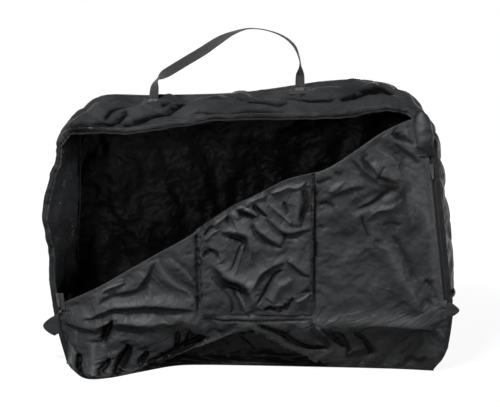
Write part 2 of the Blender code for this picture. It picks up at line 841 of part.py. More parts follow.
def front_half(name, chain, way, top):
    """The front panel's half of a closed stretch of zip, on the side of its chain that way points to."""
    foot, up, _ = chain
    frame = chain_frame(foot, up)
    near, far = CHAIN_GAP / 2, CHAIN_GAP / 2 + COIL_WIDTH
    half = COIL_THICKNESS / 2
    prism("front_zip_coil_" + name, rectangle(way * near, way * far, -half, half), 0.0, top, frame, "coil")
    near, far = far + SEAM_GAP, far + SEAM_GAP + TAPE_WIDTH
    half = TAPE_THICKNESS / 2
    prism("front_zip_tape_" + name, rectangle(way * near, way * far, -half, half), 0.0, top, frame, "tape")


def make_front_zip():
    """Both closed stretches: the long run on the right, and the short one below the left slider."""
    front_half("right", right_chain(), -1, right_chain()[2])
    front_half("left", left_chain(), 1, left_chain()[2] + SLIDER_LENGTH / 2)


def make_end_tabs():
    """Cloth tabs over both ends of the zip, with a corner that sticks out past the bag."""
    for name, side, station in (("left", -1, LEFT_STOP_STATION), ("right", 1, RIGHT_STOP_STATION)):
        rim = front_rim(station)
        top = chain_foot(station).z - STOP_LENGTH - 3 * SEAM_GAP

        def tab_point(u, v, x=rim.x, low=top - TAB_HEIGHT, way=side):
            ear = math.sin(math.pi * v)
            outer = x + way * TAB_OUT * ear
            inner = x - way * TAB_IN
            y = PANEL_BACK - 2 * CLOTH * (1 - u) * ear
            return Vector((outer + (inner - outer) * u, y, low + TAB_HEIGHT * v))

        grid("zip_end_tab_" + name, tab_point, even(6), even(6), CLOTH, 1, "nylon", flip=side > 0)


# Carry strap


def roof_point(x, y, lift):
    """Point over the roof at x and y, lifted off its outer face."""
    v = (y + HALF_DEPTH) / BAG_DEPTH
    return gusset(halve(ROOF_START, ROOF_END, lambda s: gusset(s, v).x < x), v, lift)


def patch_lift():
    return CLOTH + 3 * SEAM_GAP


def strap_anchor(x):
    return roof_point(x, STRAP_DEPTH_PLACE, patch_lift() + STRAP_THICKNESS + STRAP_SEAT)


def make_handle_seats():
    for name, x in (("left", STRAP_LEFT), ("right", STRAP_RIGHT)):
        back = STRAP_DEPTH_PLACE + PATCH_BEHIND

        def patch(u, v, x=x, back=back):
            return roof_point(x + (u - 0.5) * PATCH_WIDTH, back - PATCH_LENGTH * (1 - v), 2 * SEAM_GAP)

        def tail(u, v, x=x):
            y = STRAP_DEPTH_PLACE - TAIL_LENGTH * (1 - v)
            return roof_point(x + (u - 0.5) * STRAP_WIDTH, y, patch_lift())

        grid("handle_patch_" + name, patch, even(4), even(4), CLOTH, 1, "nylon")
        grid("strap_tail_" + name, tail, even(4), even(4), STRAP_THICKNESS, 1, "webbing")


def roof_slope(x):
    """Unit vector along the roof, lengthwise, where the strap stands at x."""
    left, right = (roof_point(x + way * STRAP_WIDTH / 2, STRAP_DEPTH_PLACE, 0.0) for way in (-1, 1))
    return (right - left).normalized()


def strap_ring(share):
    step = STRAP_STEP_SHARE
    turn = spline(STRAP_SHARES, share * (len(STRAP_SHARES) - 1))[2]
    here = strap_place(share)
    ahead = strap_place(min(share + step, 1.0)) - strap_place(max(share - step, 0.0))
    ahead.normalize()
    deep = Vector((0, 1, 0))
    if share in (0.0, 1.0):
        ahead = roof_slope(STRAP_RIGHT if share else STRAP_LEFT).cross(deep) * (-1 if share else 1)
    level = ahead.cross(deep)
    angle = math.radians(turn)
    wide = (deep * math.cos(angle) + level * math.sin(angle)) * STRAP_WIDTH / 2
    thick = ahead.cross(wide).normalized() * STRAP_THICKNESS / 2
    return [here + wide + thick, here - wide + thick, here - wide - thick, here + wide - thick]


def strap_place(share):
    x, z, _ = spline(STRAP_SHARES, share * (len(STRAP_SHARES) - 1))
    left, right = strap_anchor(STRAP_LEFT), strap_anchor(STRAP_RIGHT)
    return left.lerp(right, x) + Vector((0, 0, z * STRAP_RISE))


def put_on_axis(name, place, pieces, carrier=None):
    """Hang moving pieces on an empty that stands on their joint's axis."""
    axis = bpy.data.objects.new(name, None)
    axis.location = place
    bpy.context.scene.collection.objects.link(axis)
    for piece in pieces:
        item = bpy.data.objects[piece]
        item.parent = axis
        item.matrix_parent_inverse = Matrix.Translation(place).inverted()
    if carrier:
        axis.parent = carrier
        axis.matrix_parent_inverse = Matrix.Translation(carrier.location).inverted()
    return axis


def make_axes():
    """Axes of the front panel with its tucked corner, of the strap, and of both sliders with their pulls."""
    on_front = (
        "front_panel", "corner_fold", "pocket_panel", "pocket_binding",
        "front_zip_tape_right", "front_zip_coil_right",
    )
    front = put_on_axis("front_axis", Vector((0, PANEL_FACE, HINGE_HEIGHT)), on_front)
    put_on_axis("tucked_corner_axis", flap_fold(0.5), ("tucked_flap", "flap_zip_tape", "flap_zip_coil"), front)
    put_on_axis("strap_axis", strap_anchor(STRAP_LEFT), ("carry_strap",))
    for side, frame in (("right", right_slider_frame()), ("left", left_slider_frame())):
        bail = side + "_slider_bail_tool"
        slider = put_on_axis(side + "_slider_axis", frame.translation, (side + "_slider", bail))
        pull = (side + "_pull", side + "_pull_eye_tool")
        put_on_axis(side + "_pull_axis", frame @ Vector((0, pull_axis(), 0)), pull, slider)


def make_strap():
    sweep("carry_strap", [strap_ring(share) for share in spread(0.0, 1.0, 48)], "webbing")


def print_places():
    """Joint places and axes, for the record."""
    left, right = strap_anchor(STRAP_LEFT), strap_anchor(STRAP_RIGHT)
    print("strap axis", tuple(left), tuple((right - left).normalized()))
    print("flap fold", tuple(flap_fold(0.5)), tuple((flap_fold(1.0) - flap_fold(0.0)).normalized()))
    print("panel hinge", (0.0, PANEL_FACE, HINGE_HEIGHT))
    for name, frame in (("right", right_slider_frame()), ("left", left_slider_frame())):
        bar = frame @ Vector((0, pull_axis(), 0))
        print(name, "slider up", tuple(frame.col[2][:3]), "pull bar", tuple(bar), "across", tuple(frame.col[0][:3]))


def main():
    clear_scene()
    make_gussets()
    make_back()
    make_binding()
    make_base()
    make_skirt()
    make_front_panel()
    make_corner_fold()
    make_pocket()
    make_flap()
    make_mouth_zip()
    make_front_zip()
    make_stops()
    make_end_tabs()
    make_sliders()
    make_handle_seats()
    make_strap()
    make_axes()
    print_places()


main()
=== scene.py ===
"""Looks of a soft bike travel bag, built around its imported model. Metres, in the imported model's frame."""
import json
import math

import bpy
import numpy as np
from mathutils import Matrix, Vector


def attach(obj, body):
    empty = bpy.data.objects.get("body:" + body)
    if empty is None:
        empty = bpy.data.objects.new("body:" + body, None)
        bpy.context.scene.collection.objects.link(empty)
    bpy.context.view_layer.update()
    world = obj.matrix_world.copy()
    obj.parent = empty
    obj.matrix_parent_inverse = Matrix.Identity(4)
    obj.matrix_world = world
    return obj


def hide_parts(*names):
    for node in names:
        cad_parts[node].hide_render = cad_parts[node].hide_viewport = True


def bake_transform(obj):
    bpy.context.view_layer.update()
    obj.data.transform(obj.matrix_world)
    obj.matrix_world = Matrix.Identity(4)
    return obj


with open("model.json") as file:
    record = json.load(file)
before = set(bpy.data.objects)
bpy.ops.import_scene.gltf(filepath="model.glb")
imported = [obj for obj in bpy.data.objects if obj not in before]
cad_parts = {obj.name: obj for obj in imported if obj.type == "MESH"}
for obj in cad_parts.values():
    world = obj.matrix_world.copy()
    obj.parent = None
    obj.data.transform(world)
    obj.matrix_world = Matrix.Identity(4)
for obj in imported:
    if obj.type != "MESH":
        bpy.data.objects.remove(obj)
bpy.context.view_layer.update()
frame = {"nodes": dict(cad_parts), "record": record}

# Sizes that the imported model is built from
HALF_LENGTH, HALF_DEPTH, HEIGHT, FLOOR = 0.62, 0.13, 0.84, 0.0018
GUSSET_BULGE, BACK_BULGE = 0.034, 0.034
LEFT_END, ROOF_END, LAST = 5.5, 11.0, 19.0
LEFT_STOP, RIGHT_STOP, RUN_TOP = 1.24, 16.0, 13.0
FRONT_FACE, FLAP_FACE, BACK_FACE = -0.1312, -0.1304, 0.1304
RIGHT_INSET = 0.0245
TAPE, COIL, CHAIN_INSET = 0.014, 0.0026, 0.01965
STRAP_WIDTH = 0.028

# Stations 0 to LAST of both rims, from the left foot over the roof to the right foot, as shares of HALF_LENGTH,
# HALF_DEPTH and the height over the floor
FRONT_RIM = (
    (-0.880, -1.00, 0.000), (-0.925, -1.00, 0.155), (-0.952, -1.00, 0.345), (-0.971, -1.00, 0.536),
    (-0.923, -1.00, 0.714), (-0.862, -1.00, 0.825), (-0.730, -0.97, 0.862), (-0.444, -0.93, 0.870),
    (-0.065, -0.92, 0.911), (0.397, -0.92, 0.925), (0.677, -0.94, 0.938), (0.800, -0.98, 0.893),
    (0.8645, -1.00, 0.8214), (0.8761, -1.00, 0.7619), (0.8962, -1.00, 0.6590), (0.9317, -1.00, 0.4767),
    (0.9728, -1.00, 0.2660), (0.9813, -1.00, 0.2226), (0.960, -1.00, 0.075), (0.900, -1.00, 0.000),
)
BACK_RIM = (
    (-0.855, 1.00, 0.000), (-0.905, 1.00, 0.155), (-0.908, 1.00, 0.345), (-0.885, 1.00, 0.536),
    (-0.875, 1.00, 0.714), (-0.855, 1.00, 0.850), (-0.740, 1.00, 0.932), (-0.468, 1.00, 0.938),
    (-0.048, 1.00, 0.950), (0.387, 1.00, 0.994), (0.613, 1.00, 0.993), (0.760, 1.00, 0.940),
    (0.845, 1.00, 0.840), (0.870, 1.00, 0.765), (0.889, 1.00, 0.650), (0.915, 1.00, 0.470),
    (0.943, 1.00, 0.2660), (0.950, 1.00, 0.2226), (0.925, 1.00, 0.075), (0.870, 1.00, 0.000),
)
# Share of the gusset's bulge at each station
BULGE = (
    0.00, 0.15, 0.30, 0.30, 0.35, 0.30, 0.20, 0.32, 0.20, 0.25,
    0.30, 0.45, 0.60, 0.70, 0.80, 0.90, 0.90, 0.70, 0.30, 0.00,
)
# In the same shares: the front's edge on the floor, x and y, and the panel's free edge, x and z
FLOOR_EDGE = (
    (-0.880, -1.00), (-0.830, -1.40), (-0.745, -1.86), (-0.640, -1.80), (-0.500, -1.42), (-0.350, -1.04),
    (-0.200, -0.94), (0.100, -0.92), (0.450, -0.92), (0.720, -0.94), (0.900, -1.00),
)
FREE_EDGE = (
    (-0.932, 0.205), (-0.695, 0.298), (-0.500, 0.384), (-0.260, 0.487), (-0.210, 0.519), (-0.063, 0.592),
    (0.044, 0.632), (0.181, 0.686), (0.282, 0.708), (0.363, 0.724), (0.453, 0.764), (0.542, 0.812),
    (0.629, 0.856), (0.718, 0.884), (0.802, 0.902),
)
FOOT_LEFT, FOOT_RIGHT = -0.5456, 0.558
POCKET_LEFT, POCKET_RIGHT, POCKET_FOOT = -0.131, 0.196, 0.173

# Camera, and the plane on which lines seen in the photo are placed
PHOTO, PHOTO_PLANE = (500, 407), -0.155
AZIMUTH, ELEVATION, DISTANCE, LENS, SENSOR = math.radians(3), math.radians(13), 2.8, 66.5, 36.0
TARGET = Vector((0.005, 0.0, 0.475))
BACKWARD = Vector((
    math.sin(AZIMUTH) * math.cos(ELEVATION), -math.cos(AZIMUTH) * math.cos(ELEVATION), math.sin(ELEVATION),
))
RIGHTWARD = Vector((math.cos(AZIMUTH), math.sin(AZIMUTH), 0.0))
UPWARD = BACKWARD.cross(RIGHTWARD)
BACK = np.array([0, 1.0, 0])


# Mathematics of curves, noise and cloth


def spline(rows, s):
    """Points at stations s of an open Catmull-Rom curve."""
    rows = np.asarray(rows, float)
    rows = rows.reshape(len(rows), -1)
    s = np.asarray(s, float)
    i = np.clip(np.floor(s).astype(int), 0, len(rows) - 2)
    t = (s - i)[..., None]
    ends = np.vstack([2 * rows[0] - rows[1], rows, 2 * rows[-1] - rows[-2]])
    a, b, c, d = ends[i], ends[i + 1], ends[i + 2], ends[i + 3]
    cubic = (2 * a - 5 * b + 4 * c - d) * t ** 2 + (3 * b - a - 3 * c + d) * t ** 3
    return 0.5 * (2 * b + (c - a) * t + cubic)


def ramp(x):
    """From 0 to 1 with level ends."""
    x = np.clip(x, 0.0, 1.0)
    return x * x * (3 - 2 * x)


def bell(x):
    """1 at 0, falling to both sides."""
    return np.exp(-(x ** 2))


def unit(v):
    return v / np.maximum(np.linalg.norm(v, axis=-1, keepdims=True), 1e-12)


def turned(v):
    """Vectors turned by a quarter in the plane of x and z, as from a rim's way to its outside."""
    return np.stack([-v[..., 2], 0 * v[..., 0], v[..., 0]], -1)


def runs_of(line):
    """How far along a line each of its points lies."""
    return np.concatenate([[0], np.cumsum(np.linalg.norm(np.diff(line, axis=0), axis=1))])


def line_at(at, run, line):
    """Points of a line at values of its run, which is given at each of its points."""
    return np.stack([np.interp(at, run, line[:, k]) for k in range(line.shape[1])], -1)


def mix(a, b, t):
    return a + (b - a) * t


NOISE_TABLE = 4096


def noise(points, size, seed):
    """Smooth noise from -1 to 1 over points of two or three numbers, with cells of that size."""
    table = np.random.default_rng(seed).uniform(-1, 1, NOISE_TABLE)
    q = np.asarray(points, float) / size
    cell = np.floor(q).astype(np.int64)
    f = q - cell
    f = f ** 3 * (f * (f * 6 - 15) + 10)
    primes = np.array([73856093, 19349663, 83492791][: q.shape[-1]])
    total = 0.0
    for corner in range(2 ** q.shape[-1]):
        bits = np.array([corner >> k & 1 for k in range(q.shape[-1])])
        mixed = (cell + bits) * primes
        key = mixed[..., 0]
        for k in range(1, q.shape[-1]):
            key = key ^ mixed[..., k]
        total = total + table[key & (NOISE_TABLE - 1)] * np.prod(np.where(bits, f, 1 - f), axis=-1)
    return total


def octaves(points, size, seed, count=3, gain=0.5):
    return sum(gain ** k * noise(points, size / 2.1 ** k, seed + 17 * k) for k in range(count))


def laplacian(p):
    out = np.zeros_like(p)
    out[1:-1] += p[2:] + p[:-2] - 2 * p[1:-1]
    out[:, 1:-1] += p[:, 2:] + p[:, :-2] - 2 * p[:, 1:-1]
    return out


INERTIA, FIRM, SLACK, SOFTNESS = 0.85, 0.9, 0.45, 0.02
BEND_SHARES = (0.8, 0.4, 0.2)


def stretch(p, weight, first, second, rest):
    """Moves both ends of each edge towards its cloth length, by the share FIRM when long and SLACK when short."""
    a, b = p[first], p[second]
    wa, wb = weight[first], weight[second]
    d = b - a
    length = np.sqrt((d * d).sum(-1)) + 1e-12
    error = (length - rest) / length
    share = np.where(error > 0, FIRM, SLACK) * error / np.maximum(wa + wb, 1e-9)
    move = d * share[..., None]
    a += move * wa[..., None]
    b -= move * wb[..., None]


def edge_sets(n, m):
    """Slices of a grid's edges, in sets in which no point is used twice."""
    sets = []
    for parity in (0, 1):
        rows, cols = slice(parity, n - 1, 2), slice(parity, m - 1, 2)
        rows_on, cols_on = slice(parity + 1, n, 2), slice(parity + 1, m, 2)
        every, low, high = slice(None), slice(0, m - 1), slice(1, m)
        sets.append(((rows, every), (rows_on, every)))
        sets.append(((every, cols), (every, cols_on)))
        sets.append(((rows, low), (rows_on, high)))
        sets.append(((rows, high), (rows_on, low)))
    return sets


def relax(start, rest_shape, grow, weight, steps, cap, soft, floor):
    """Lets a grid of cloth buckle: its edges are longer than their room by the shares in grow, along both ways."""
    p = start.copy()
    along, across = np.diff(rest_shape, axis=0), np.diff(rest_shape, axis=1)
    grow_a, grow_b = grow
    along = along * (1 + (grow_a[1:] + grow_a[:-1]) / 2)[..., None]
    across = across * (1 + (grow_b[:, 1:] + grow_b[:, :-1]) / 2)[..., None]
    lengths = [np.linalg.norm(d, axis=-1) for d in (
        along, across, along[:, :-1] + across[:-1], along[:, 1:] - across[:-1],
    )]
    sets = []
    for k, (first, second) in enumerate(edge_sets(*p.shape[:2])):
        rest = lengths[k % 4]
        sets.append((first, second, rest[:, first[1]] if k % 4 == 1 else rest[first[0]]))
    previous = p.copy()
    for _ in range(steps):
        inertia = INERTIA * (p - previous)
        previous = p.copy()
        p += inertia * weight[..., None]
        for first, second, rest in sets:
            stretch(p, weight, first, second, rest)
        curve = laplacian(p - rest_shape)
        p -= soft * laplacian(curve) * weight[..., None]
        away = p - rest_shape
        over = np.maximum(np.linalg.norm(away, axis=-1) / cap, 1.0)
        p = rest_shape + away / over[..., None]
        if floor is not None:
            p[..., 2] = np.maximum(p[..., 2], floor)
    return p


def resample(grid, n, m):
    """The grid at n by m points, between its own by straight lines."""
    rows = np.linspace(0, grid.shape[0] - 1, n)
    cols = np.linspace(0, grid.shape[1] - 1, m)
    i = np.minimum(rows.astype(int), grid.shape[0] - 2)
    j = np.minimum(cols.astype(int), grid.shape[1] - 2)
    fi, fj = (rows - i)[:, None, None], (cols - j)[None, :, None]
    low = grid[i][:, j] * (1 - fj) + grid[i][:, j + 1] * fj
    high = grid[i + 1][:, j] * (1 - fj) + grid[i + 1][:, j + 1] * fj
    return low * (1 - fi) + high * fi


def spread(n, m):
    """Shares u and v over a grid of n by m points."""
    return np.meshgrid(np.linspace(0, 1, n), np.linspace(0, 1, m), indexing="ij")


def grid_normals(p):
    return unit(np.cross(np.gradient(p, axis=0), np.gradient(p, axis=1)))


def pins(n, m, ends=1, foot=1, top=0):
    """1 where a grid is held: in that many rows at both ends, and columns at its foot and at its top."""
    pinned = np.zeros((n, m))
    pinned[:ends], pinned[n - ends:], pinned[:, :foot], pinned[:, m - top:] = 1, 1, 1, 1
    return pinned


def wrinkle(base, pinned, grow, cap, seed, kick, levels, floor=None):
    """Cloth with more length than its room, from coarse to fine. Each level is a share of the grid and its steps."""
    n, m = base.shape[:2]
    shift = np.zeros_like(base)
    for level, (share, steps) in enumerate(levels):
        rows, cols = max(int(n * share), 8), max(int(m * share), 8)
        size = lambda field: resample(np.broadcast_to(field, (n, m))[..., None], rows, cols)[..., 0]
        rest = resample(base, rows, cols)
        weight = size(1.0 - pinned)
        cell, height = kick[level]
        bump = octaves(rest, cell, seed + 7 * level, 2) * height
        start = rest + resample(shift, rows, cols) + grid_normals(rest) * (bump * weight)[..., None]
        moved = relax(
            start, rest, (size(grow[0]), size(grow[1])), np.clip(weight, 0, 1), steps, size(cap),
            SOFTNESS * BEND_SHARES[level], floor,
        )
        shift = resample(moved - rest, n, m)
    return base + shift


def roll_rim(p, up, radius, around, past, step):
    """Adds columns past a grid's last: round a fold of that radius in so many steps, and then down inside."""
    rows = []
    for k in range(1, around + past + 1):
        turn = math.pi * min(k / around, 1)
        rise = radius * math.sin(turn) - max(k - around, 0) * step
        rows.append(p[:, -1] + up * rise + BACK * radius * (1 - math.cos(turn)))
    return np.concatenate([p, np.stack(rows, 1)], 1)


# Forms of the bag


def from_shares(t):
    return np.asarray(t) * (HALF_LENGTH, HALF_DEPTH, HEIGHT - FLOOR) + (0, 0, FLOOR)


def front_rim(s):
    return from_shares(spline(FRONT_RIM, s))


def back_rim(s):
    return from_shares(spline(BACK_RIM, s))


def outward(s):
    """Across the rim and out of the bag, in the plane of x and z."""
    step = 0.01
    ahead = front_rim(np.minimum(s + step, LAST)) - front_rim(np.maximum(s - step, 0.0))
    return unit(turned(ahead))


def loose_rim(s):
    """The front rim as the open zip leaves it, uneven between the two sliders."""
    s = np.asarray(s, float)
    free = ramp((s - 1.7) / 0.8) * ramp((12.3 - s) / 0.8)
    at = np.stack([s, 0 * s], -1)
    out = -0.0035 + 0.0065 * octaves(at, 1.1, 5, 4, 0.6)
    deep = 0.004 + 0.0085 * octaves(at, 0.9, 6, 4, 0.6)
    p = front_rim(s) + outward(s) * (free * out)[..., None]
    p[..., 1] += free * deep
    return p


LEFT_SIDE = front_rim(np.linspace(0, 6, 300))
RIGHT_SIDE = front_rim(np.linspace(19, 10.5, 300))
EDGE_LINE = spline([(x * HALF_LENGTH, FLOOR + z * (HEIGHT - FLOOR)) for x, z in FREE_EDGE], np.linspace(0, 14, 600))
FLOOR_LINE = spline([(x * HALF_LENGTH, y * HALF_DEPTH) for x, y in FLOOR_EDGE], np.linspace(0, 10, 400))


def left_x(z):
    return np.interp(z, LEFT_SIDE[:, 2], LEFT_SIDE[:, 0])


def right_x(z):
    """Right border of the front cloth: the rim low down, and beside the zip above it."""
    rim = np.interp(z, RIGHT_SIDE[:, 2], RIGHT_SIDE[:, 0])
    return rim - RIGHT_INSET * ramp((z - 0.185) / 0.04)


def edge_z(x):
    return np.interp(x, EDGE_LINE[:, 0], EDGE_LINE[:, 1])


def floor_y(x):
    return np.interp(x, FLOOR_LINE[:, 0], FLOOR_LINE[:, 1])


def from_photo(places):
    """x and z where the camera sees pixels of the view, on the plane PHOTO_PLANE."""
    camera = TARGET + BACKWARD * DISTANCE
    scale = LENS / SENSOR * PHOTO[0]
    out = []
    for px, py in places:
        ray = -BACKWARD + RIGHTWARD * ((px - PHOTO[0] / 2) / scale) - UPWARD * ((py - PHOTO[1] / 2) / scale)
        point = camera + ray * ((PHOTO_PLANE - camera.y) / ray.y)
        out.append((point.x, point.z))
    return np.array(out)


def seen_at(points):
    """x and z on the same plane where the camera sees points."""
    camera = np.array(TARGET + BACKWARD * DISTANCE)
    ray = points - camera
    hit = camera + ray * ((PHOTO_PLANE - camera[1]) / ray[..., 1:2])
    return hit[..., 0], hit[..., 2]


# Folds are made this much higher and wider than their rows say
FOLD_GAIN, FOLD_WIDEN = 1.5, 1.15


def line_gaps(x, z, places):
    """Distance to a line seen by the camera, the share of its length there, and the side: 1 on the left of its way."""
    knots = from_photo(places)
    line = spline(knots, np.linspace(0, len(knots) - 1, 10 * (len(knots) - 1) + 1))
    flat = np.stack([x.ravel(), z.ravel()], -1)
    best, where, side = np.full(len(flat), 1e9), np.zeros(len(flat)), np.ones(len(flat))
    for k in range(len(line) - 1):
        a, d = line[k], line[k + 1] - line[k]
        t = np.clip(((flat - a) @ d) / (d @ d), 0, 1)
        away = flat - a - t[:, None] * d
        gap = np.hypot(*away.T)
        near = gap < best
        best[near] = gap[near]
        where[near] = (k + t[near]) / (len(line) - 1)
        side[near] = np.sign(d[0] * away[near, 1] - d[1] * away[near, 0])
    return [found.reshape(x.shape) for found in (best, where, side)]


def swell(where, least, margin):
    """Share of the full size along a line: most in its middle."""
    return least + (1 - least) * np.sin(math.pi * np.clip(where, margin, 1 - margin))


def fade(where, reach, start):
    """Share left near both ends of a line, over that share of its length."""
    return np.minimum(ramp(where / reach + start), ramp((1 - where) / reach + start))


def ledge_lines(x, z, ledges):
    """Cloth that hangs over itself. Rows of height, reach of the lit side and of the overhung side in mm, the
    hollow's share of the height, and the line as seen by the camera, with the overhung side on the right of its way."""
    total = np.zeros_like(x)
    for height, reach, drop, hollow, places in ledges:
        gap, where, side = line_gaps(x, z, places)
        size = swell(where, 0.35, 0.04)
        lit = np.exp(-((gap / (reach / 1000)) ** 1.4))
        fall = gap / (drop / 1000 * size)
        under = np.where(
            fall < 1, 1 - (1 + hollow) * 0.5 * (1 - np.cos(math.pi * np.minimum(fall, 1))),
            -hollow * bell((fall - 1) * drop / reach * 1.2),
        )
        total += height / 1000 * size * fade(where, 0.15, 0.1) * np.where(side > 0, lit, under)
    return total


def crease_lines(x, z, creases):
    """Depth of listed creases: rows of depth, width in mm and the line as seen by the camera."""
    total = np.zeros_like(x)
    for depth, wide, places in creases:
        gap, where, _ = line_gaps(x, z, places)
        total = np.maximum(total, depth * fade(where, 0.12, 0.1) * bell(gap / (wide / 1000)))
    return total


def fold_lines(x, z, folds):
    """Height of listed folds: rows of height and width in mm, sharpness, and the line as seen by the camera."""
    total = np.zeros_like(x)
    for height, wide, sharp, places in folds:
        gap, where, _ = line_gaps(x, z, places)
        r = gap / (FOLD_WIDEN * wide / 1000 * swell(where, 0.45, 0.03))
        profile = sharp * np.exp(-r) * (r < 6) + (1 - sharp) * bell(r)
        total += FOLD_GAIN * height / 1000 * profile * fade(where, 0.12, 0.15)
    return total


# Meshes

# Limits of the painted shade and painted highlight on each point, and the fold's height that gives a painted shade of 1
SHADE_LOW, SHADE_HIGH, SHADE_DEPTH = -0.9, 0.7, 0.011


def mesh_object(name, points, faces, material, uvs=None, smooth=False):
    mesh = bpy.data.meshes.new(name)
    mesh.from_pydata(np.asarray(points, float).tolist(), [], np.asarray(faces).tolist())
    if uvs is not None:
        layer = mesh.uv_layers.new(name="cloth")
        corners = np.empty(len(mesh.loops), np.int32)
        mesh.loops.foreach_get("vertex_index", corners)
        layer.data.foreach_set("uv", np.asarray(uvs, np.float32)[corners].ravel())
    mesh.polygons.foreach_set("use_smooth", [smooth] * len(mesh.polygons))
    mesh.update()
    mesh.materials.append(material)
    obj = bpy.data.objects.new(name, mesh)
    bpy.context.scene.collection.objects.link(obj)
    return obj


def grid_uvs(p):
    """Cloth lengths along both ways of a grid, in metres."""
    u, v = np.zeros(p.shape[:2]), np.zeros(p.shape[:2])
    u[1:] = np.cumsum(np.linalg.norm(np.diff(p, axis=0), axis=-1), axis=0)
    v[:, 1:] = np.cumsum(np.linalg.norm(np.diff(p, axis=1), axis=-1), axis=1)
    return np.stack([u, v], -1).reshape(-1, 2)


def grid_faces(n, m, flip):
    index = np.arange(n * m).reshape(n, m)
    a, b, c, d = index[:-1, :-1], index[1:, :-1], index[1:, 1:], index[:-1, 1:]
    loop = (a, d, c, b) if flip else (a, b, c, d)
    return np.stack(loop, -1).reshape(-1, 4)


def sheet_object(name, p, material, thickness=0.0006, flip=False, offset=-1.0, inside=None, shade=None):
    """A sheet through a grid of points, with a second material inside and a value of painted shade that darkens its
    hollows and lightens its ridges.
    """
    n, m = p.shape[:2]
    obj = mesh_object(name, p.reshape(-1, 3), grid_faces(n, m, flip), material, grid_uvs(p), True)
    if shade is not None:
        # Painted shade and painted highlight, stored on each point as fold_shade
        wear_and_shade = obj.data.attributes.new("fold_shade", "FLOAT", "POINT")
        wear_and_shade.data.foreach_set("value", np.clip(shade, SHADE_LOW, SHADE_HIGH).ravel().astype(np.float32))
    solid = obj.modifiers.new("thickness", "SOLIDIFY")
    solid.thickness, solid.offset, solid.use_even_offset = thickness, offset, False
    if inside is not None:
        obj.data.materials.append(inside)
        solid.material_offset = 1
    return obj


def strip_object(name, rows, material, thickness):
    """A strip of tape through rows of points, each row one line along it."""
    return sheet_object(name, np.stack(rows, 1), material, thickness, offset=0.0)


QUADS = np.array([(3, 2, 1, 0), (4, 5, 6, 7), (0, 1, 5, 4), (1, 2, 6, 5), (2, 3, 7, 6), (3, 0, 4, 7)])
STITCH_PITCH = 0.0037


def boxes_object(name, centres, ahead, side, up, sizes, material, taper=1.0):
    """Many small blocks as one piece: one at each centre, with its own three directions."""
    length, width, height = sizes
    corners = []
    for z, thin in ((-1, 1.0), (1, taper)):
        for x, y in ((-1, -1), (1, -1), (1, 1), (-1, 1)):
            corners.append(
                centres + ahead * x * length / 2 * thin + side * y * width / 2 * thin + up * z * height / 2
            )
    start = np.arange(len(centres))[:, None, None] * 8
    uvs = np.zeros((len(centres) * 8, 2))
    uvs[:, 0] = np.repeat(np.arange(len(centres)) * STITCH_PITCH, 8)
    return mesh_object(name, np.stack(corners, 1).reshape(-1, 3), (start + QUADS).reshape(-1, 4), material, uvs)


def even_points(line, pitch, start=0.5):
    """Points at equal spacing on a line of points, with the line's direction there."""
    run = runs_of(line)
    count = max(int(run[-1] / pitch), 1)
    at = (np.arange(count) + start) * run[-1] / count
    step = 0.001
    ahead = line_at(np.minimum(at + step, run[-1]), run, line) - line_at(np.maximum(at - step, 0), run, line)
    return line_at(at, run, line), unit(ahead)


# Materials


def colour_of(slot):
    return np.array(next(m["base_color"] for m in frame["record"]["materials"] if m["slot"] == slot))


class Nodes:
    """Short way to build the node tree of a material or of the world."""

    def __init__(self, owner):
        self.owner, owner.use_nodes = owner, True
        self.tree = owner.node_tree

    def put(self, socket, value):
        if isinstance(value, bpy.types.NodeSocket):
            self.tree.links.new(value, socket)
        else:
            socket.default_value = value

    def fill(self, name, inputs):
        """Sets inputs of one of the tree's own nodes."""
        for key, value in inputs.items():
            self.put(self.tree.nodes[name].inputs[key], value)
        return self.owner

    def add(self, kind, inputs=(), **settings):
        made = self.tree.nodes.new(kind)
        for key, value in settings.items():
            setattr(made, key, value)
        for key, value in dict(inputs).items():
            self.put(made.inputs[key], value)
        return made

    def maths(self, operation, *values):
        return self.add("ShaderNodeMath", enumerate(values), operation=operation).outputs[0]

    def wave(self, value, pitch):
        return self.maths("SINE", self.maths("MULTIPLY", value, 2 * math.pi / pitch))

    def noise(self, place, scale, detail=4.0, rough=0.55, kind="FBM"):
        inputs = {"Vector": place, "Scale": scale, "Detail": detail, "Roughness": rough, "Distortion": 0.0}
        return self.add("ShaderNodeTexNoise", inputs, noise_type=kind).outputs[0]

    def remap(self, value, low, high, to_low, to_high, **settings):
        inputs = {"Value": value, "From Min": low, "From Max": high, "To Min": to_low, "To Max": to_high}
        return self.add("ShaderNodeMapRange", inputs, **settings).outputs[0]

    def blend(self, factor, first, second, way="MIX"):
        made = self.add("ShaderNodeMix", {0: factor, 6: first, 7: second}, data_type="RGBA", blend_type=way)
        return made.outputs[2]

    def tint(self, value, low, high, first, second):
        """A colour that goes from the first to the second as the value goes from low to high."""
        return self.blend(self.remap(value, low, high, 0, 1), (*first, 1), (*second, 1))

    def bump(self, height, distance, normal=None):
        inputs = {"Height": height, "Distance": distance, "Strength": 1.0}
        if normal is not None:
            inputs["Normal"] = normal
        return self.add("ShaderNodeBump", inputs).outputs[0]


def weave(n, parts, pitch):
    """Height of a plain weave of that pitch, in metres of cloth."""
    return n.maths("MULTIPLY", n.wave(parts[0], pitch), n.wave(parts[1], pitch))


NYLON_PITCH = 0.0011


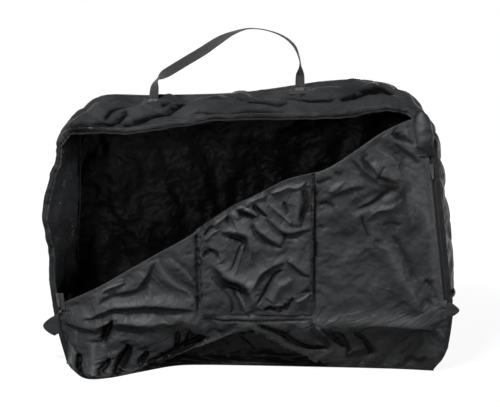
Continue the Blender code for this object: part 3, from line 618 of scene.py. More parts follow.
def cloth_material(name, gain=1.0, crumple=1.0, rough=0.24, spec=0.07):
    """Coated nylon: a fine weave, small crumples left by folding, colour that is a little worn, and painted shade and
    painted highlight from each point's fold_shade.
    """
    n = Nodes(bpy.data.materials.new(name))
    base = colour_of("nylon") * gain
    place = n.add("ShaderNodeUVMap", uv_map="cloth").outputs[0]
    parts = n.add("ShaderNodeSeparateXYZ", {"Vector": place}).outputs
    fine = n.noise(place, 60.0, 4.0, 0.6)
    shift = n.add("ShaderNodeTexNoise", {"Vector": place, "Scale": 14.0, "Detail": 2.0}).outputs[1]
    bent = n.add("ShaderNodeVectorMath", {0: shift, 1: (0.05, 0.05, 0), 2: place}, operation="MULTIPLY_ADD").outputs[0]
    crush = n.noise(bent, 11.0, 2.0, 0.5, "RIDGED_MULTIFRACTAL")
    facets = n.add("ShaderNodeTexVoronoi", {"Vector": bent, "Scale": 26.0, "Detail": 1.0}, feature="F1").outputs[0]
    wear_and_shade = n.tint(n.noise(place, 7.0, 3.0), 0.35, 0.65, base * 0.86, base * 1.16)
    dusty = n.tint(fine, 0.3, 0.7, (0.90, 0.90, 0.91), (1.06, 1.06, 1.05))
    # Painted shade in hollows and painted highlight on ridges, by which the colour is multiplied
    folds = n.add("ShaderNodeAttribute", attribute_name="fold_shade").outputs["Fac"]
    normal = n.bump(crush, 0.0022 * crumple)
    normal = n.bump(facets, 0.0036 * crumple, normal)
    normal = n.bump(fine, 0.0003 * crumple, normal)
    return n.fill("Principled BSDF", {
        "Base Color": n.blend(1.0, n.blend(1.0, wear_and_shade, dusty, "MULTIPLY"), n.maths("ADD", folds, 1.0), "MULTIPLY"),
        "Roughness": n.remap(fine, 0.3, 0.7, rough - 0.05, rough + 0.07),
        "Specular IOR Level": spec,
        "Normal": n.bump(weave(n, parts, NYLON_PITCH), 0.00006, normal),
    })


def band_material(name, slot, gain=1.0, pitch=0.0016, depth=0.0002, rough=0.7):
    """Woven tape and webbing: ribs across it and a herringbone in its weave."""
    n = Nodes(bpy.data.materials.new(name))
    base = colour_of(slot) * gain
    place = n.add("ShaderNodeUVMap", uv_map="cloth").outputs[0]
    parts = n.add("ShaderNodeSeparateXYZ", {"Vector": place}).outputs
    ribs = n.wave(n.maths("ADD", parts[0], n.maths("PINGPONG", parts[1], pitch * 2)), pitch)
    height = n.maths("ADD", ribs, n.maths("MULTIPLY", weave(n, parts, pitch / 2), 0.4))
    dust = n.noise(place, 40.0, 4.0, 0.65)
    return n.fill("Principled BSDF", {
        "Base Color": n.tint(dust, 0.3, 0.7, base * 0.8, base * 1.25),
        "Roughness": n.remap(dust, 0.3, 0.7, rough - 0.06, rough + 0.08),
        "Specular IOR Level": 0.35,
        "Sheen Weight": 0.12,
        "Normal": n.bump(height, depth, n.bump(dust, 0.0004)),
    })


def hard_material(name, slot, rough, metallic=0.0, coat=0.0, spec=0.5):
    """Plastic or lacquered metal that is a little dusty and worn."""
    n = Nodes(bpy.data.materials.new(name))
    base = colour_of(slot)
    place = n.add("ShaderNodeTexCoord").outputs["Object"]
    wear = n.noise(place, 1400.0, 3.0, 0.6)
    return n.fill("Principled BSDF", {
        "Base Color": n.tint(n.noise(place, 300.0, 4.0, 0.6), 0.35, 0.7, base * 0.8, base * 1.4),
        "Roughness": n.remap(wear, 0.3, 0.7, rough - 0.08, rough + 0.12),
        "Metallic": metallic,
        "Specular IOR Level": spec,
        "Coat Weight": coat,
        "Coat Roughness": 0.25,
        "Normal": n.bump(wear, 0.00005),
    })


NYLON = cloth_material("bag_nylon")
# The strip's outer face: the nylon's colour darkened to 0.66, painted shade
NYLON_STRIP_SHADED = cloth_material("bag_nylon_strip_painted_shade", gain=0.66, crumple=0.6, rough=0.26, spec=0.03)
NYLON_FIRM = cloth_material("bag_nylon_sewn", crumple=0.5, rough=0.5)
# Inner faces: the nylon's colour darkened to 0.16, painted shade inside the bag
SHADED_INSIDE = cloth_material("bag_nylon_inside_painted_shade", gain=0.16, rough=0.28, spec=0.06)
# The strip's inner face: the nylon's colour brightened 1.7 times, painted light for the highlights on its crumples
LIT_SIDE_INSIDE = cloth_material("bag_nylon_side_inside_painted_light", gain=1.7, rough=0.22, spec=0.3)
WEBBING = band_material("strap_webbing", "webbing", gain=0.6, pitch=0.0022, depth=0.0003)
TAPE_CLOTH = band_material("zip_tape", "tape", pitch=0.0012, depth=0.00012)
THREAD = band_material("sewing_thread", "webbing", gain=1.3, pitch=0.0009, depth=0.0001, rough=0.55)
TEETH = hard_material("zip_teeth", "coil", 0.5, spec=0.1)
METAL = hard_material("zip_metal", "metal", 0.38, metallic=0.75, coat=0.4)


# Putting pieces under their bodies


def keep(obj, body, nodes=()):
    """Puts a piece under the empty of its body and hides the imported nodes it stands for. The body front_cloth is the
    panel that bends at its foot; its pieces get no parent, their place baked into the mesh.
    """
    if body == "front_cloth":
        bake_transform(obj)
    else:
        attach(obj, body)
    if nodes:
        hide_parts(*nodes)
    return obj


# Front panel with the strip below it, one sheet of cloth

KNUCKLE, PROUD = 0.165, 0.030
# x and height of the arch that the sagged cloth leaves over the floor
ARCH = ((-0.40, 0.0), (-0.36, 0.004), (-0.257, 0.028), (-0.136, 0.075), (-0.060, 0.110), (-0.008, 0.127),
        (0.048, 0.120), (0.114, 0.078), (0.209, 0.028), (0.26, 0.004), (0.30, 0.0))

# The rows of these tables are explained at ledge_lines, fold_lines and crease_lines
FRONT_LEDGES = (
    # lower left
    (6, 26, 15, 0.9, ((98, 304), (104, 297), (115, 292), (130, 289), (138, 285), (144, 276), (150, 267), (156, 262))),
    (8, 24, 20, 0.9, ((72, 318), (90, 315), (103, 309), (120, 305), (140, 303), (160, 304), (180, 307), (198, 311))),
    (7, 18, 24, 0.6, ((60, 326), (80, 326), (100, 323), (112, 320), (130, 321), (150, 322), (170, 322), (188, 321))),
    (5, 16, 13, 0.9, ((196, 310), (192, 298), (186, 291), (176, 285), (167, 276), (161, 267), (157, 258))),
    (4, 10, 9, 0.9, ((198, 288), (191, 279), (181, 268), (168, 257))),
    (7, 20, 18, 0.8, ((80, 356), (88, 363), (98, 367), (110, 368), (122, 364))),
    (6, 16, 12, 0.9, ((102, 292), (112, 286), (128, 280))),
    # upper right
    (7, 16, 12, 0.9, ((360, 152), (368, 160), (376, 170), (384, 176), (398, 182))),
    (4, 9, 10, 0.9, ((350, 158), (358, 163), (368, 174), (378, 182), (386, 186))),
    (5, 18, 14, 0.8, ((400, 180), (396, 166), (389, 157), (377, 150))),
    (5, 16, 13, 0.8, ((393, 140), (404, 148), (414, 156), (421, 166))),
    (5, 18, 7, 1.0, ((355, 209), (363, 205), (370, 201), (378, 195), (389, 189))),
    (4, 20, 16, 0.6, ((404, 184), (409, 200), (412, 214), (414, 232))),
    (5, 24, 12, 0.7, ((330, 196), (340, 190), (352, 186), (364, 187))),
    # lower right
    (6, 18, 14, 0.8, ((312, 318), (318, 326), (325, 335), (334, 342))),
    (6, 22, 16, 0.7, ((345, 326), (370, 324), (400, 325), (425, 330), (440, 338))),
)
FRONT_FOLDS = (
    # lower left
    (-3, 4, 0.5, ((128, 280), (112, 284), (98, 289))),
    (-13, 9, 0.3, ((114, 319), (109, 328), (104, 338))),
    (-17, 12, 0.3, ((132, 343), (126, 354), (119, 368))),
    (-12, 9, 0.3, ((149, 350), (145, 356), (141, 362))),
    (-14, 9, 0.3, ((82, 350), (83, 364), (85, 380))),
    (6, 9, 0.2, ((72, 345), (76, 358), (80, 372))),
    (5, 10, 0.2, ((95, 340), (98, 355), (100, 372))),
    (-12, 8, 0.3, ((103, 367), (109, 360), (113, 353))),
    (-8, 7, 0.3, ((177, 333), (176, 342), (175, 351))),
    (-8, 7, 0.3, ((191, 332), (187, 339), (182, 347))),
    (-12, 9, 0.3, ((148, 362), (165, 355), (185, 346), (205, 336))),
    # upper right
    (-9, 5, 0.6, ((388, 131), (400, 138), (415, 146))),
    (-4, 4, 0.5, ((361, 216), (364, 227), (368, 238))),
    (-3.5, 4, 0.5, ((373, 240), (379, 241), (384, 242))),
    (-5, 6, 0.5, ((319, 205), (326, 203), (334, 207))),
    (-4, 5, 0.5, ((334, 172), (338, 174), (343, 175))),
    (-4, 6, 0.5, ((317, 184), (325, 181), (331, 178))),
    (-4, 4, 0.5, ((319, 225), (325, 229))),
    (-5, 5, 0.5, ((378, 175), (381, 170), (384, 167))),
    (-5, 4, 0.5, ((361, 152), (364, 155), (367, 158))),
    (5, 6, 0.3, ((328, 192), (336, 187), (342, 182))),
    (5, 6, 0.3, ((370, 215), (378, 210), (390, 208), (394, 203))),
    (-3, 6, 0.4, ((382, 227), (388, 224), (402, 226))),
    (4, 12, 0.1, ((375, 243), (388, 250), (392, 258), (400, 275), (410, 290), (420, 310))),
    (-4, 9, 0.3, ((392, 236), (402, 250), (410, 268), (418, 282))),
    (-5, 5, 0.5, ((425, 280), (435, 292), (440, 306))),
    # lower right
    (-8, 6, 0.5, ((320, 325), (332, 338), (345, 350))),
    (-7, 5, 0.5, ((330, 330), (342, 340), (350, 355))),
    (-7, 5, 0.5, ((352, 330), (365, 345), (372, 358))),
    (4, 6, 0.3, ((436, 332), (445, 340), (450, 346))),
    # beside the pocket's seams
    (-5, 4, 0.6, ((196, 226), (197, 270), (197, 316))),
    (-5, 4, 0.6, ((197, 319), (250, 320), (314, 319))),
    (-5, 4, 0.6, ((315, 180), (315, 250), (315, 318))),
    # foot of the arch
    (6, 7, 0.3, ((252, 330), (270, 340), (290, 352), (305, 360), (320, 365))),
    (-8, 8, 0.3, ((255, 322), (280, 332), (300, 345), (330, 350))),
)

# Creases that are only painted shade on the front cloth
FRONT_CREASES = (
    (0.7, 4, ((357, 208), (365, 204), (372, 200), (378, 194), (388, 190))),
    (0.4, 14, ((405, 236), (414, 230), (424, 231))),
    (0.7, 5, ((427, 301), (432, 304), (437, 309))),
    (0.5, 5, ((402, 299), (409, 305), (417, 312))),
    (0.9, 6, ((114, 319), (109, 328), (104, 338))),
    (1.0, 9, ((132, 343), (126, 354), (119, 368))),
    (0.9, 6, ((149, 350), (145, 356), (141, 362))),
    (0.9, 5, ((82, 350), (83, 364), (85, 380))),
    (0.9, 8, ((84, 362), (96, 370), (110, 370), (124, 366))),
    (0.9, 6, ((88, 376), (100, 379), (112, 376))),
    (1.0, 9, ((148, 362), (165, 355), (185, 346), (205, 336))),
    (1.0, 10, ((328, 334), (336, 334), (345, 337))),
    (1.0, 10, ((344, 356), (352, 356), (364, 355), (378, 350))),
    (0.8, 6, ((318, 336), (324, 342), (330, 348))),
    (0.6, 5, ((400, 343), (408, 337), (414, 331))),
    (0.6, 5, ((400, 356), (407, 350), (412, 343))),
    (0.9, 7, ((404, 365), (412, 361), (420, 363), (427, 358))),
)

POCKET_LEDGES = (
    (12, 18, 34, 0.9, ((212, 261), (222, 269), (229, 274), (236, 276), (243, 279), (250, 286), (253, 294), (254, 304))),
    (7, 16, 15, 0.9, ((251, 291), (256, 278), (262, 270), (272, 264), (287, 259))),
    (6, 14, 11, 0.9, ((287, 259), (296, 264), (303, 270), (309, 275))),
    (11, 16, 26, 0.7, ((219, 231), (230, 229), (241, 230), (249, 234), (252, 245), (252, 258))),
    (9, 16, 18, 0.9, ((255, 220), (260, 228), (268, 234), (275, 239), (283, 246))),
    (7, 12, 18, 0.8, ((234, 209), (236, 218), (240, 229))),
    (7, 9, 20, 0.8, ((266, 215), (275, 221), (283, 227), (291, 229), (301, 227), (309, 227))),
    (9, 12, 14, 0.9, ((256, 201), (261, 206), (269, 215))),
    (9, 16, 18, 0.9, ((300, 225), (298, 212), (301, 200), (299, 186))),
    (7, 14, 14, 0.9, ((207, 246), (214, 246), (220, 250), (222, 261))),
    (9, 10, 20, 0.9, ((235, 208), (243, 207), (252, 210), (259, 216))),
    (5, 12, 12, 0.9, ((262, 306), (272, 303), (284, 303), (294, 296))),
)
# Creases that are only painted shade on the pocket
POCKET_CREASES = (
    (0.8, 4, ((203, 256), (207, 252), (212, 249))),
    (0.7, 3, ((252, 243), (253, 250), (252, 258))),
    (1.0, 7, ((301, 188), (301, 203), (299, 221))),
    (1.0, 9, ((239, 211), (248, 214), (256, 217))),
    (1.0, 5, ((257, 202), (262, 209), (268, 215))),
    (0.9, 6, ((278, 245), (283, 239), (286, 231))),
    (0.8, 4, ((264, 308), (270, 306), (276, 309))),
    (0.8, 4, ((279, 311), (284, 306), (288, 304))),
    (0.7, 4, ((284, 311), (290, 301), (295, 296))),
    (0.8, 5, ((290, 223), (296, 224), (303, 223))),
    (0.6, 12, ((222, 282), (232, 284), (242, 284))),
    (0.5, 9, ((228, 236), (238, 236), (247, 238))),
)

POCKET_FOLDS = (
    (-6, 5, 0.4, ((257, 303), (264, 292), (270, 281), (275, 273), (283, 268))),
    (5, 13, 0.1, ((270, 300), (280, 285), (292, 277))),
    (-4, 5, 0.5, ((211, 274), (219, 284), (228, 294), (233, 304), (232, 312))),
    (6, 6, 0.3, ((237, 289), (243, 300), (248, 311))),
    (-4, 4, 0.5, ((234, 291), (239, 301), (243, 311))),
    (-3, 3, 0.5, ((241, 243), (237, 254), (232, 268))),
    (3, 4, 0.3, ((245, 242), (240, 256), (236, 272))),
    (-6, 4, 0.5, ((265, 308), (270, 305), (275, 309))),
    (-6, 4, 0.5, ((279, 311), (284, 305), (288, 303))),
    (-5, 5, 0.4, ((284, 305), (290, 300), (294, 296))),
    (5, 5, 0.3, ((296, 300), (303, 297), (310, 292))),
    (-5, 4, 0.5, ((300, 291), (306, 290), (310, 290))),
    (7, 6, 0.3, ((247, 205), (252, 200), (267, 194))),
    (6, 6, 0.3, ((270, 193), (280, 189), (288, 186), (297, 186), (306, 180))),
    (5, 5, 0.3, ((270, 203), (280, 212), (292, 222))),
    (-5, 4, 0.5, ((283, 200), (286, 207), (287, 213))),
    (5, 7, 0.3, ((214, 226), (222, 218), (234, 213), (240, 218))),
    (-8, 5, 0.5, ((203, 256), (207, 252), (212, 249))),
    (5, 5, 0.3, ((205, 240), (212, 233), (218, 229))),
    (-4, 4, 0.5, ((205, 235), (210, 229), (216, 225))),
)


# Both ends in shares x and z, then height and reach
PANEL_FOLDS = (
    (-0.700, 0.222, -0.360, 0.240, 0.006, 0.036), (-0.660, 0.236, -0.500, 0.300, -0.006, 0.030),
    (0.600, 0.474, 0.780, 0.255, 0.009, 0.040), (0.513, 0.600, 0.640, 0.655, -0.008, 0.030),
    (0.600, 0.725, 0.700, 0.680, 0.008, 0.035),
)


def proud(x, z):
    """How far the front panel stands out before its mouth plane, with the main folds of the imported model."""
    left = ramp((x + 0.542) / 0.12)
    run = np.interp(z, RIGHT_SIDE[:, 2], RIGHT_SIDE[:, 0]) - 0.028
    total = PROUD
    here = np.stack([x, z], -1)
    for x0, z0, x1, z1, height, reach in PANEL_FOLDS:
        start, end = from_shares((x0, 0, z0))[[0, 2]], from_shares((x1, 0, z1))[[0, 2]]
        share = np.clip((here - start) @ (end - start) / ((end - start) @ (end - start)), 0, 1)
        gap = np.linalg.norm(here - start - share[..., None] * (end - start), axis=-1) / reach
        total = total + height * np.maximum(1 - gap ** 2, 0) ** 2
    return total * left * ramp((run - x) / 0.12)


def arch_height(x):
    """Height of the hollow under the panel's foot, where it has sagged into an arch."""
    return np.interp(x, *np.array(ARCH).T)


def front_y(x, z):
    """Base form of the front cloth: out from the floor to a rounded knuckle, then up to the mouth."""
    foot = floor_y(x)
    upper = FRONT_FACE - proud(x, np.maximum(z, KNUCKLE))
    share = np.clip(z / KNUCKLE, 0, 1)
    slump = np.clip((-0.125 - foot) / 0.1, 0, 1.2)
    lower = mix(foot, upper, share ** (1 - 0.45 * slump))
    y = np.where(z < KNUCKLE, lower, upper)
    at = np.stack([x, z], -1) * (1, 0.2)
    crest = 0.152 + 0.010 * noise(at, 0.09, 301)
    size = 0.008 + 0.005 * noise(at, 0.06, 302)
    y = y - size * bell((z - crest) / 0.026) * ramp((x + 0.59) / 0.10) * ramp((0.60 - x) / 0.10)
    height = arch_height(x)
    inside = (height - z) * ramp(height / 0.02)
    lip = 0.010 * bell(inside / 0.012) * ramp(height / 0.02)
    return y - lip + 0.034 * ramp(inside / 0.012) * ramp(z / 0.03 + 0.2)


def front_base(n, m):
    """The front cloth's form between the floor edge, the free edge, the left rim and the right border."""
    u, v = spread(n, m)
    low = np.stack([mix(FOOT_LEFT, FOOT_RIGHT, u[:, 0]), np.full(n, FLOOR)], -1)
    steps = runs_of(EDGE_LINE)
    high = line_at(u[:, 0] * steps[-1], steps, EDGE_LINE)
    z_left = mix(FLOOR, high[0, 1], v[0])
    z_right = mix(FLOOR, high[-1, 1], v[0])
    left = np.stack([left_x(z_left), z_left], -1)
    right = np.stack([right_x(z_right), z_right], -1)
    left[-1], right[-1] = high[0], high[-1]
    u, v = u[..., None], v[..., None]
    patch = mix(low[:, None], high[:, None], v) + mix(left[None], right[None], u)
    corners = mix(mix(left[0], right[0], u), mix(left[-1], right[-1], u), v)
    x, z = np.moveaxis(patch - corners, -1, 0)
    return np.stack([x, front_y(x, z), z], -1)


# Where the painted highlight of the smooth band at the panel's right begins: heights and x, as seen by the camera
BAND_LINE = from_photo(((431, 318), (431, 290), (429, 240), (423, 216), (412, 204), (404, 182), (402, 150))).T[::-1]


def make_front():
    n, m = 340, 190
    base = front_base(n, m)
    x, z = base[..., 0], base[..., 2]
    folds = fold_lines(x, z, FRONT_FOLDS) + ledge_lines(x, z, FRONT_LEDGES)
    # Under the pocket the cloth is plain and nearly held; near its borders and its free edge the folds are lower
    margin = 0.004
    under = ramp((x - POCKET_LEFT + margin) / 0.012) * ramp((POCKET_RIGHT + margin - x) / 0.012)
    under = under * ramp((z - 0.168) / 0.01)
    near = np.minimum.reduce([(x - left_x(z)), (right_x(z) - x), z * 2])
    top = edge_z(x) - z
    hold = ramp(near / 0.02) * (0.35 + 0.65 * ramp(top / 0.018))
    shaped = base.copy()
    # The left top corner lies behind the slider's way
    shaped[..., 1] += 0.008 * ramp((-0.538 - x) / 0.012) * ramp((z - 0.158) / 0.012)
    shaped[..., 1] -= folds * hold * (1 - under)
    pinned = np.maximum(pins(n, m), under * 0.85)
    smooth_band = ramp((x - 0.40) / 0.06) * ramp((z - 0.20) / 0.1)
    busy = 0.030 + 0.010 * ramp((0.20 - z) / 0.06) + 0.012 * ramp((-0.10 - x) / 0.1) - 0.020 * smooth_band
    calm = bell((z - 0.175) / 0.035) * ramp((x - 0.18) / 0.06)
    busy = busy * (1 - 0.8 * calm)
    edge = 1 - ramp(top / 0.03)
    grow = (busy * (1 - under) * (1 - 0.7 * edge), (busy * 0.8 + 0.01) * (1 - under) * (1 - 0.5 * edge))
    cap = np.where(under > 0.5, 0.002, 0.009 + 0.003 * ramp((0.19 - z) / 0.05)) * (1 - 0.88 * edge)
    cap = cap * (0.25 + 0.75 * ramp(near / 0.03))
    made = wrinkle(
        shaped, pinned, grow, cap, 11,
        kick=((0.05, 0.006), (0.022, 0.003), (0.010, 0.0012)),
        levels=((0.3, 60), (0.6, 50), (1.0, 30)), floor=FLOOR,
    )
    # The last columns run straight up to the free edge, which rolls over and down inside, as a fold
    tail = 5
    start = made[:, -tail - 1]
    last = shaped[:, -1] + 0.3 * (start - shaped[:, -tail - 1])
    made[:, -tail:] = mix(start[:, None], last[:, None], np.arange(1, tail + 1)[:, None] / tail)
    up = turned(unit(np.gradient(made[:, -1], axis=0)))
    made = roll_rim(made, up, 0.0035, 6, 2, 0.004)
    # Painted shade in hollows, creases and seam puckers, low down and inside the arch; painted highlight on ridges and
    # on the smooth band at the right, with a little painted shade left of that band, high up
    left_seam, right_seam = np.abs(x - POCKET_LEFT + margin), np.abs(x - POCKET_RIGHT - margin)
    seam = np.minimum(left_seam, right_seam) + np.where(z < POCKET_FOOT, 1, 0)
    pucker = np.clip(1.5 * octaves(np.stack([x, z], -1) * (0.7, 1), 0.012, 501, 2), 0, 1) * bell(seam / 0.012)
    creased = np.maximum(crease_lines(x, z, FRONT_CREASES), pucker)
    shade = (folds * hold / SHADE_DEPTH - creased) * (1 - under)
    arch = arch_height(x)
    shade = shade - 0.32 * ramp((0.150 - z) / 0.03) - 0.45 * ramp((arch - z) / 0.012) * ramp(arch / 0.02)
    band = np.interp(z, *BAND_LINE)
    shade = shade + 0.6 * ramp((x - band) / 0.016) * ramp((z - 0.165) / 0.03)
    shade = shade - 0.16 * ramp((x - 0.22) / 0.03) * ramp((band - x) / 0.02) * ramp((z - 0.36) / 0.06)
    shade[:, -3:] = 0
    shade = np.concatenate([shade, np.zeros((n, made.shape[1] - m))], 1)
    obj = sheet_object("front_cloth", made, NYLON, inside=SHADED_INSIDE, shade=shade)
    return keep(obj, "front_cloth", ("front_panel", "front_skirt")), made


def make_pocket():
    n, m = 150, 190
    u, v = spread(n, m)
    x = mix(POCKET_LEFT, POCKET_RIGHT, u)
    z = mix(POCKET_FOOT, edge_z(x) + 0.003, v)
    side, foot = np.minimum(x - POCKET_LEFT, POCKET_RIGHT - x), z - POCKET_FOOT
    puff = (0.35 * ramp(side / 0.010) + 0.65 * ramp(side / 0.05)) * (0.75 + 0.25 * v)
    puff = puff * (0.35 * ramp(foot / 0.010) + 0.65 * ramp(foot / 0.045))
    y = FRONT_FACE - proud(x, z) - 0.0016 - 0.015 * puff
    folds = fold_lines(x, z, POCKET_FOLDS) + ledge_lines(x, z, POCKET_LEDGES)
    shaped = np.stack([x, y - folds * ramp(side / 0.008), z], -1)
    seam = (1 - ramp(side / 0.03)) + (1 - ramp(foot / 0.03))
    grow = (0.030, 0.030 + 0.03 * np.clip(seam, 0, 1))
    cap = 0.010 * (0.2 + 0.8 * ramp(side / 0.02)) * (0.3 + 0.7 * ramp(foot / 0.02))
    made = wrinkle(
        shaped, pins(n, m, 2, 2), grow, cap, 23,
        kick=((0.04, 0.003), (0.018, 0.002), (0.009, 0.0008)),
        levels=((0.35, 50), (0.7, 40), (1.0, 24)),
    )
    made[..., 1] = np.minimum(made[..., 1], FRONT_FACE - proud(made[..., 0], made[..., 2]) - 0.0010)
    made = roll_rim(made, np.array([0, 0, 1.0]), 0.0014, 4, 1, 0.010)
    # Painted shade in hollows, creases and seam puckers, painted highlight on ridges, and painted shade along the top
    # edge and on the rolled hem
    hemmed = np.minimum(side, foot)
    pucker = np.clip(1.7 * octaves(np.stack([x, z], -1), 0.010, 502, 2), 0, 1) * bell(hemmed / 0.012)
    shade = folds * ramp(side / 0.008) / SHADE_DEPTH - np.maximum(crease_lines(x, z, POCKET_CREASES), pucker)
    shade = shade - 0.3 * ramp((v - 0.955) / 0.02)
    shade = np.concatenate([shade, np.repeat(shade[:, -1:] - 0.3, made.shape[1] - m, 1)], 1)
    obj = sheet_object("pocket_cloth", made, NYLON, shade=shade)
    return keep(obj, "front_cloth", ("pocket_panel", "pocket_binding")), made


# Gusset strip, back, base and tucked corner


def gusset(s, v, lift=0.0, rim=front_rim):
    """The strip's outer face at stations s and shares v of its depth, from the front rim to the back."""
    front, back = rim(s), back_rim(s) - (0, 0.0004, 0)
    bulge = GUSSET_BULGE * spline(BULGE, s)[..., 0] * np.sin(math.pi * v) ** 2
    return mix(front, back, v[..., None]) + outward(s) * (bulge + lift)[..., None]


ROOF_CREASES = (
    (0.9, 7, ((64, 129), (80, 127), (100, 125), (112, 122), (122, 117), (129, 112))),
    (1.0, 7, ((118, 124), (135, 121), (150, 116), (165, 112), (178, 107), (190, 103), (205, 99), (240, 98))),
    (0.7, 6, ((104, 117), (112, 111), (125, 106), (138, 103))),
    (0.8, 7, ((133, 102), (139, 99), (146, 103))),
    (0.8, 6, ((146, 97), (154, 99), (161, 95))),
    (0.7, 5, ((160, 106), (168, 103), (176, 101), (188, 100))),
    (0.8, 5, ((235, 100), (262, 99), (290, 99), (318, 99), (336, 98))),
    (1.0, 8, ((338, 100), (352, 97), (368, 93), (384, 91), (396, 91))),
    (0.7, 4, ((246, 104), (262, 105), (278, 107), (288, 105))),
    (0.7, 4, ((192, 113), (212, 113), (240, 112), (290, 112))),
    (0.6, 5, ((258, 92), (266, 90), (274, 93))),
    (0.6, 5, ((300, 96), (305, 91), (296, 88))),
)


def make_gusset():
    """The strip round the bag, one sheet: left end, roof and right end."""
    n, m = 760, 76
    u, v = spread(n, m)
    s = u * LAST
    base = mix(gusset(s, v, rim=loose_rim), gusset(s, v), (ramp(v / 0.45))[..., None])
    drift = 0.35 * octaves(np.stack([s * 0.11, v * 0.26], -1), 0.14, 41, 2)
    slant = np.abs(np.sin(math.pi * (1.05 * s - 1.6 * v + drift)))
    cross = np.abs(np.sin(math.pi * (0.62 * s + 1.2 * v + 1.3 * drift)))
    deep = (0.55 - slant ** 0.7) * 0.0050 + (0.55 - cross ** 0.7) * 0.0036
    facing = ramp((s - 5.0) / 0.4) * ramp((11.4 - s) / 0.4) * ramp((0.62 - v) / 0.15)
    # Creases of the roof's front, sunk into the cloth and also drawn as painted shade
    creased = crease_lines(*seen_at(base), ROOF_CREASES) * facing
    deep = deep * np.sin(math.pi * np.clip(v, 0, 1)) ** 0.5 + 0.006 * creased
    base = base - outward(s) * deep[..., None]
    pinned = pins(n, m, top=1)
    side = np.minimum(v, 1 - v)
    roof = ramp((s - 5.2) / 0.6) * ramp((11.3 - s) / 0.6)
    grow = (0.030 + 0.030 * bell(side / 0.10), 0.022 + 0.012 * roof)
    # More cloth round the strap's two ends, and none of it free beneath them
    on_roof = (s > LEFT_END) & (s < ROOF_END)
    for x0 in (STRAP_LEFT, STRAP_RIGHT):
        dx, dy = base[..., 0] - x0, base[..., 1] - 0.045
        grow = (grow[0] + 0.03 * bell(np.hypot(dx, dy) / 0.06) * on_roof, grow[1])
        pinned = np.maximum(pinned, on_roof * (np.abs(dx) < 0.030) * (np.abs(dy) < 0.036))
    cap = (0.010 + 0.004 * roof) * (0.10 + 0.90 * ramp(side / 0.10))
    made = wrinkle(
        base, pinned, grow, cap, 37,
        kick=((0.07, 0.006), (0.03, 0.003), (0.012, 0.001)),
        levels=((0.3, 40), (0.6, 30), (1.0, 16)),
    )
    # The strip's edge is turned in at the mouth
    hem = np.stack([mouth_place(s[:, 0], w, -0.0012) for w in (0.0135, 0.0105, 0.0070, 0.0035, 0.0012)], 1)
    hem[..., 1] -= 0.0016 * (1 + octaves(hem[..., [0, 2]], 0.014, 91, 2)) * np.array([0.3, 1, 1, 0.7, 0.2])
    made = np.concatenate([hem, made], 1)
    # Painted shade in the roof's creases, carried onto the turned hem, and painted light and shade on each station in
    # step with the slanting folds
    shade = np.concatenate([np.repeat(-creased[:, :1], hem.shape[1], 1), -1.3 * creased], 1)
    shade = shade + 0.3 * (0.5 - slant[:, :1])
    obj = sheet_object("gusset_strip_cloth", made, NYLON_STRIP_SHADED, inside=LIT_SIDE_INSIDE, shade=shade)
    return keep(obj, "bag", ("left_gusset", "roof_panel", "right_gusset")), made


def make_back():
    n, m = 260, 180
    u, v = spread(n, m)
    left, right = back_rim(LEFT_END * v[0]), back_rim(LAST - 8 * v[0])
    foot, top = mix(back_rim(0.0), back_rim(LAST), u[:, :1]), back_rim(LEFT_END + 5.5 * u[:, 0])
    U, V = u[..., None], v[..., None]
    base = mix(foot[:, None], top[:, None], V) + mix(left[None], right[None], U)
    base -= mix(mix(foot[0], foot[-1], U), mix(top[0], top[-1], U), V)
    flat = np.sin(math.pi * u) * np.sin(math.pi * v)
    crown = np.maximum(flat, 0) ** 0.8
    y = BACK_FACE + BACK_BULGE * crown + 0.010 * np.sin(math.pi * (3.2 * u + 1.7 * v)) * flat
    base[..., 1] = y + 0.004 * np.sin(math.pi * (1.3 * u - 3.1 * v)) * flat
    broad = octaves(base[..., [0, 2]] @ np.array([[0.9, -0.45], [0.45, 0.3]]), 0.09, 71, 3)
    base[..., 1] += 0.003 * broad * crown
    near = np.minimum.reduce([u, 1 - u, v, 1 - v])
    grow = (0.020 + 0.02 * bell(near / 0.05), 0.018 + 0.02 * bell(near / 0.05))
    made = wrinkle(
        base, pins(n, m, top=1), grow, 0.012 * (0.15 + 0.85 * ramp(near / 0.05)), 51,
        kick=((0.07, 0.005), (0.03, 0.002), (0.013, 0.0006)),
        levels=((0.3, 50), (0.6, 35), (1.0, 18)),
    )
    return keep(sheet_object("back_cloth", made, NYLON, flip=True, inside=SHADED_INSIDE), "bag", ("back_panel",))


def make_base():
    """The base, 2.5 mm wider than the front's foot at both ends, so that no light leaks in there."""
    u, v = spread(160, 60)
    x_front, x_back = mix(-0.5481, 0.5605, u), mix(-0.5325, 0.5419, u)
    x, y = mix(x_front, x_back, v), mix(floor_y(x_front), 0.1322, v)
    inner = ramp(np.minimum.reduce([u * 8, (1 - u) * 8, v * 4, (1 - v) * 4]))
    z = 0.0010 + 0.004 * inner * np.clip(octaves(np.stack([x, y], -1), 0.05, 61, 3) + 0.2, 0, 1)
    return keep(sheet_object("base_cloth", np.stack([x, y, z], -1), SHADED_INSIDE), "bag", ("base_panel",))


FLAP_REACH, FLAP_LEAN, FOLD_Y = 0.26, 0.25, -0.1604
# Length down from the fold, as shares of FLAP_REACH from its left end to its right
FLAP_SHARES = (0.28, 0.60, 0.85, 1.00, 0.95, 0.80, 0.60, 0.40, 0.20)
FOLD_START, FOLD_END = (from_shares((x, 0, z)) + BACK * FOLD_Y for x, z in ((-0.690, 0.290), (0.600, 0.815)))


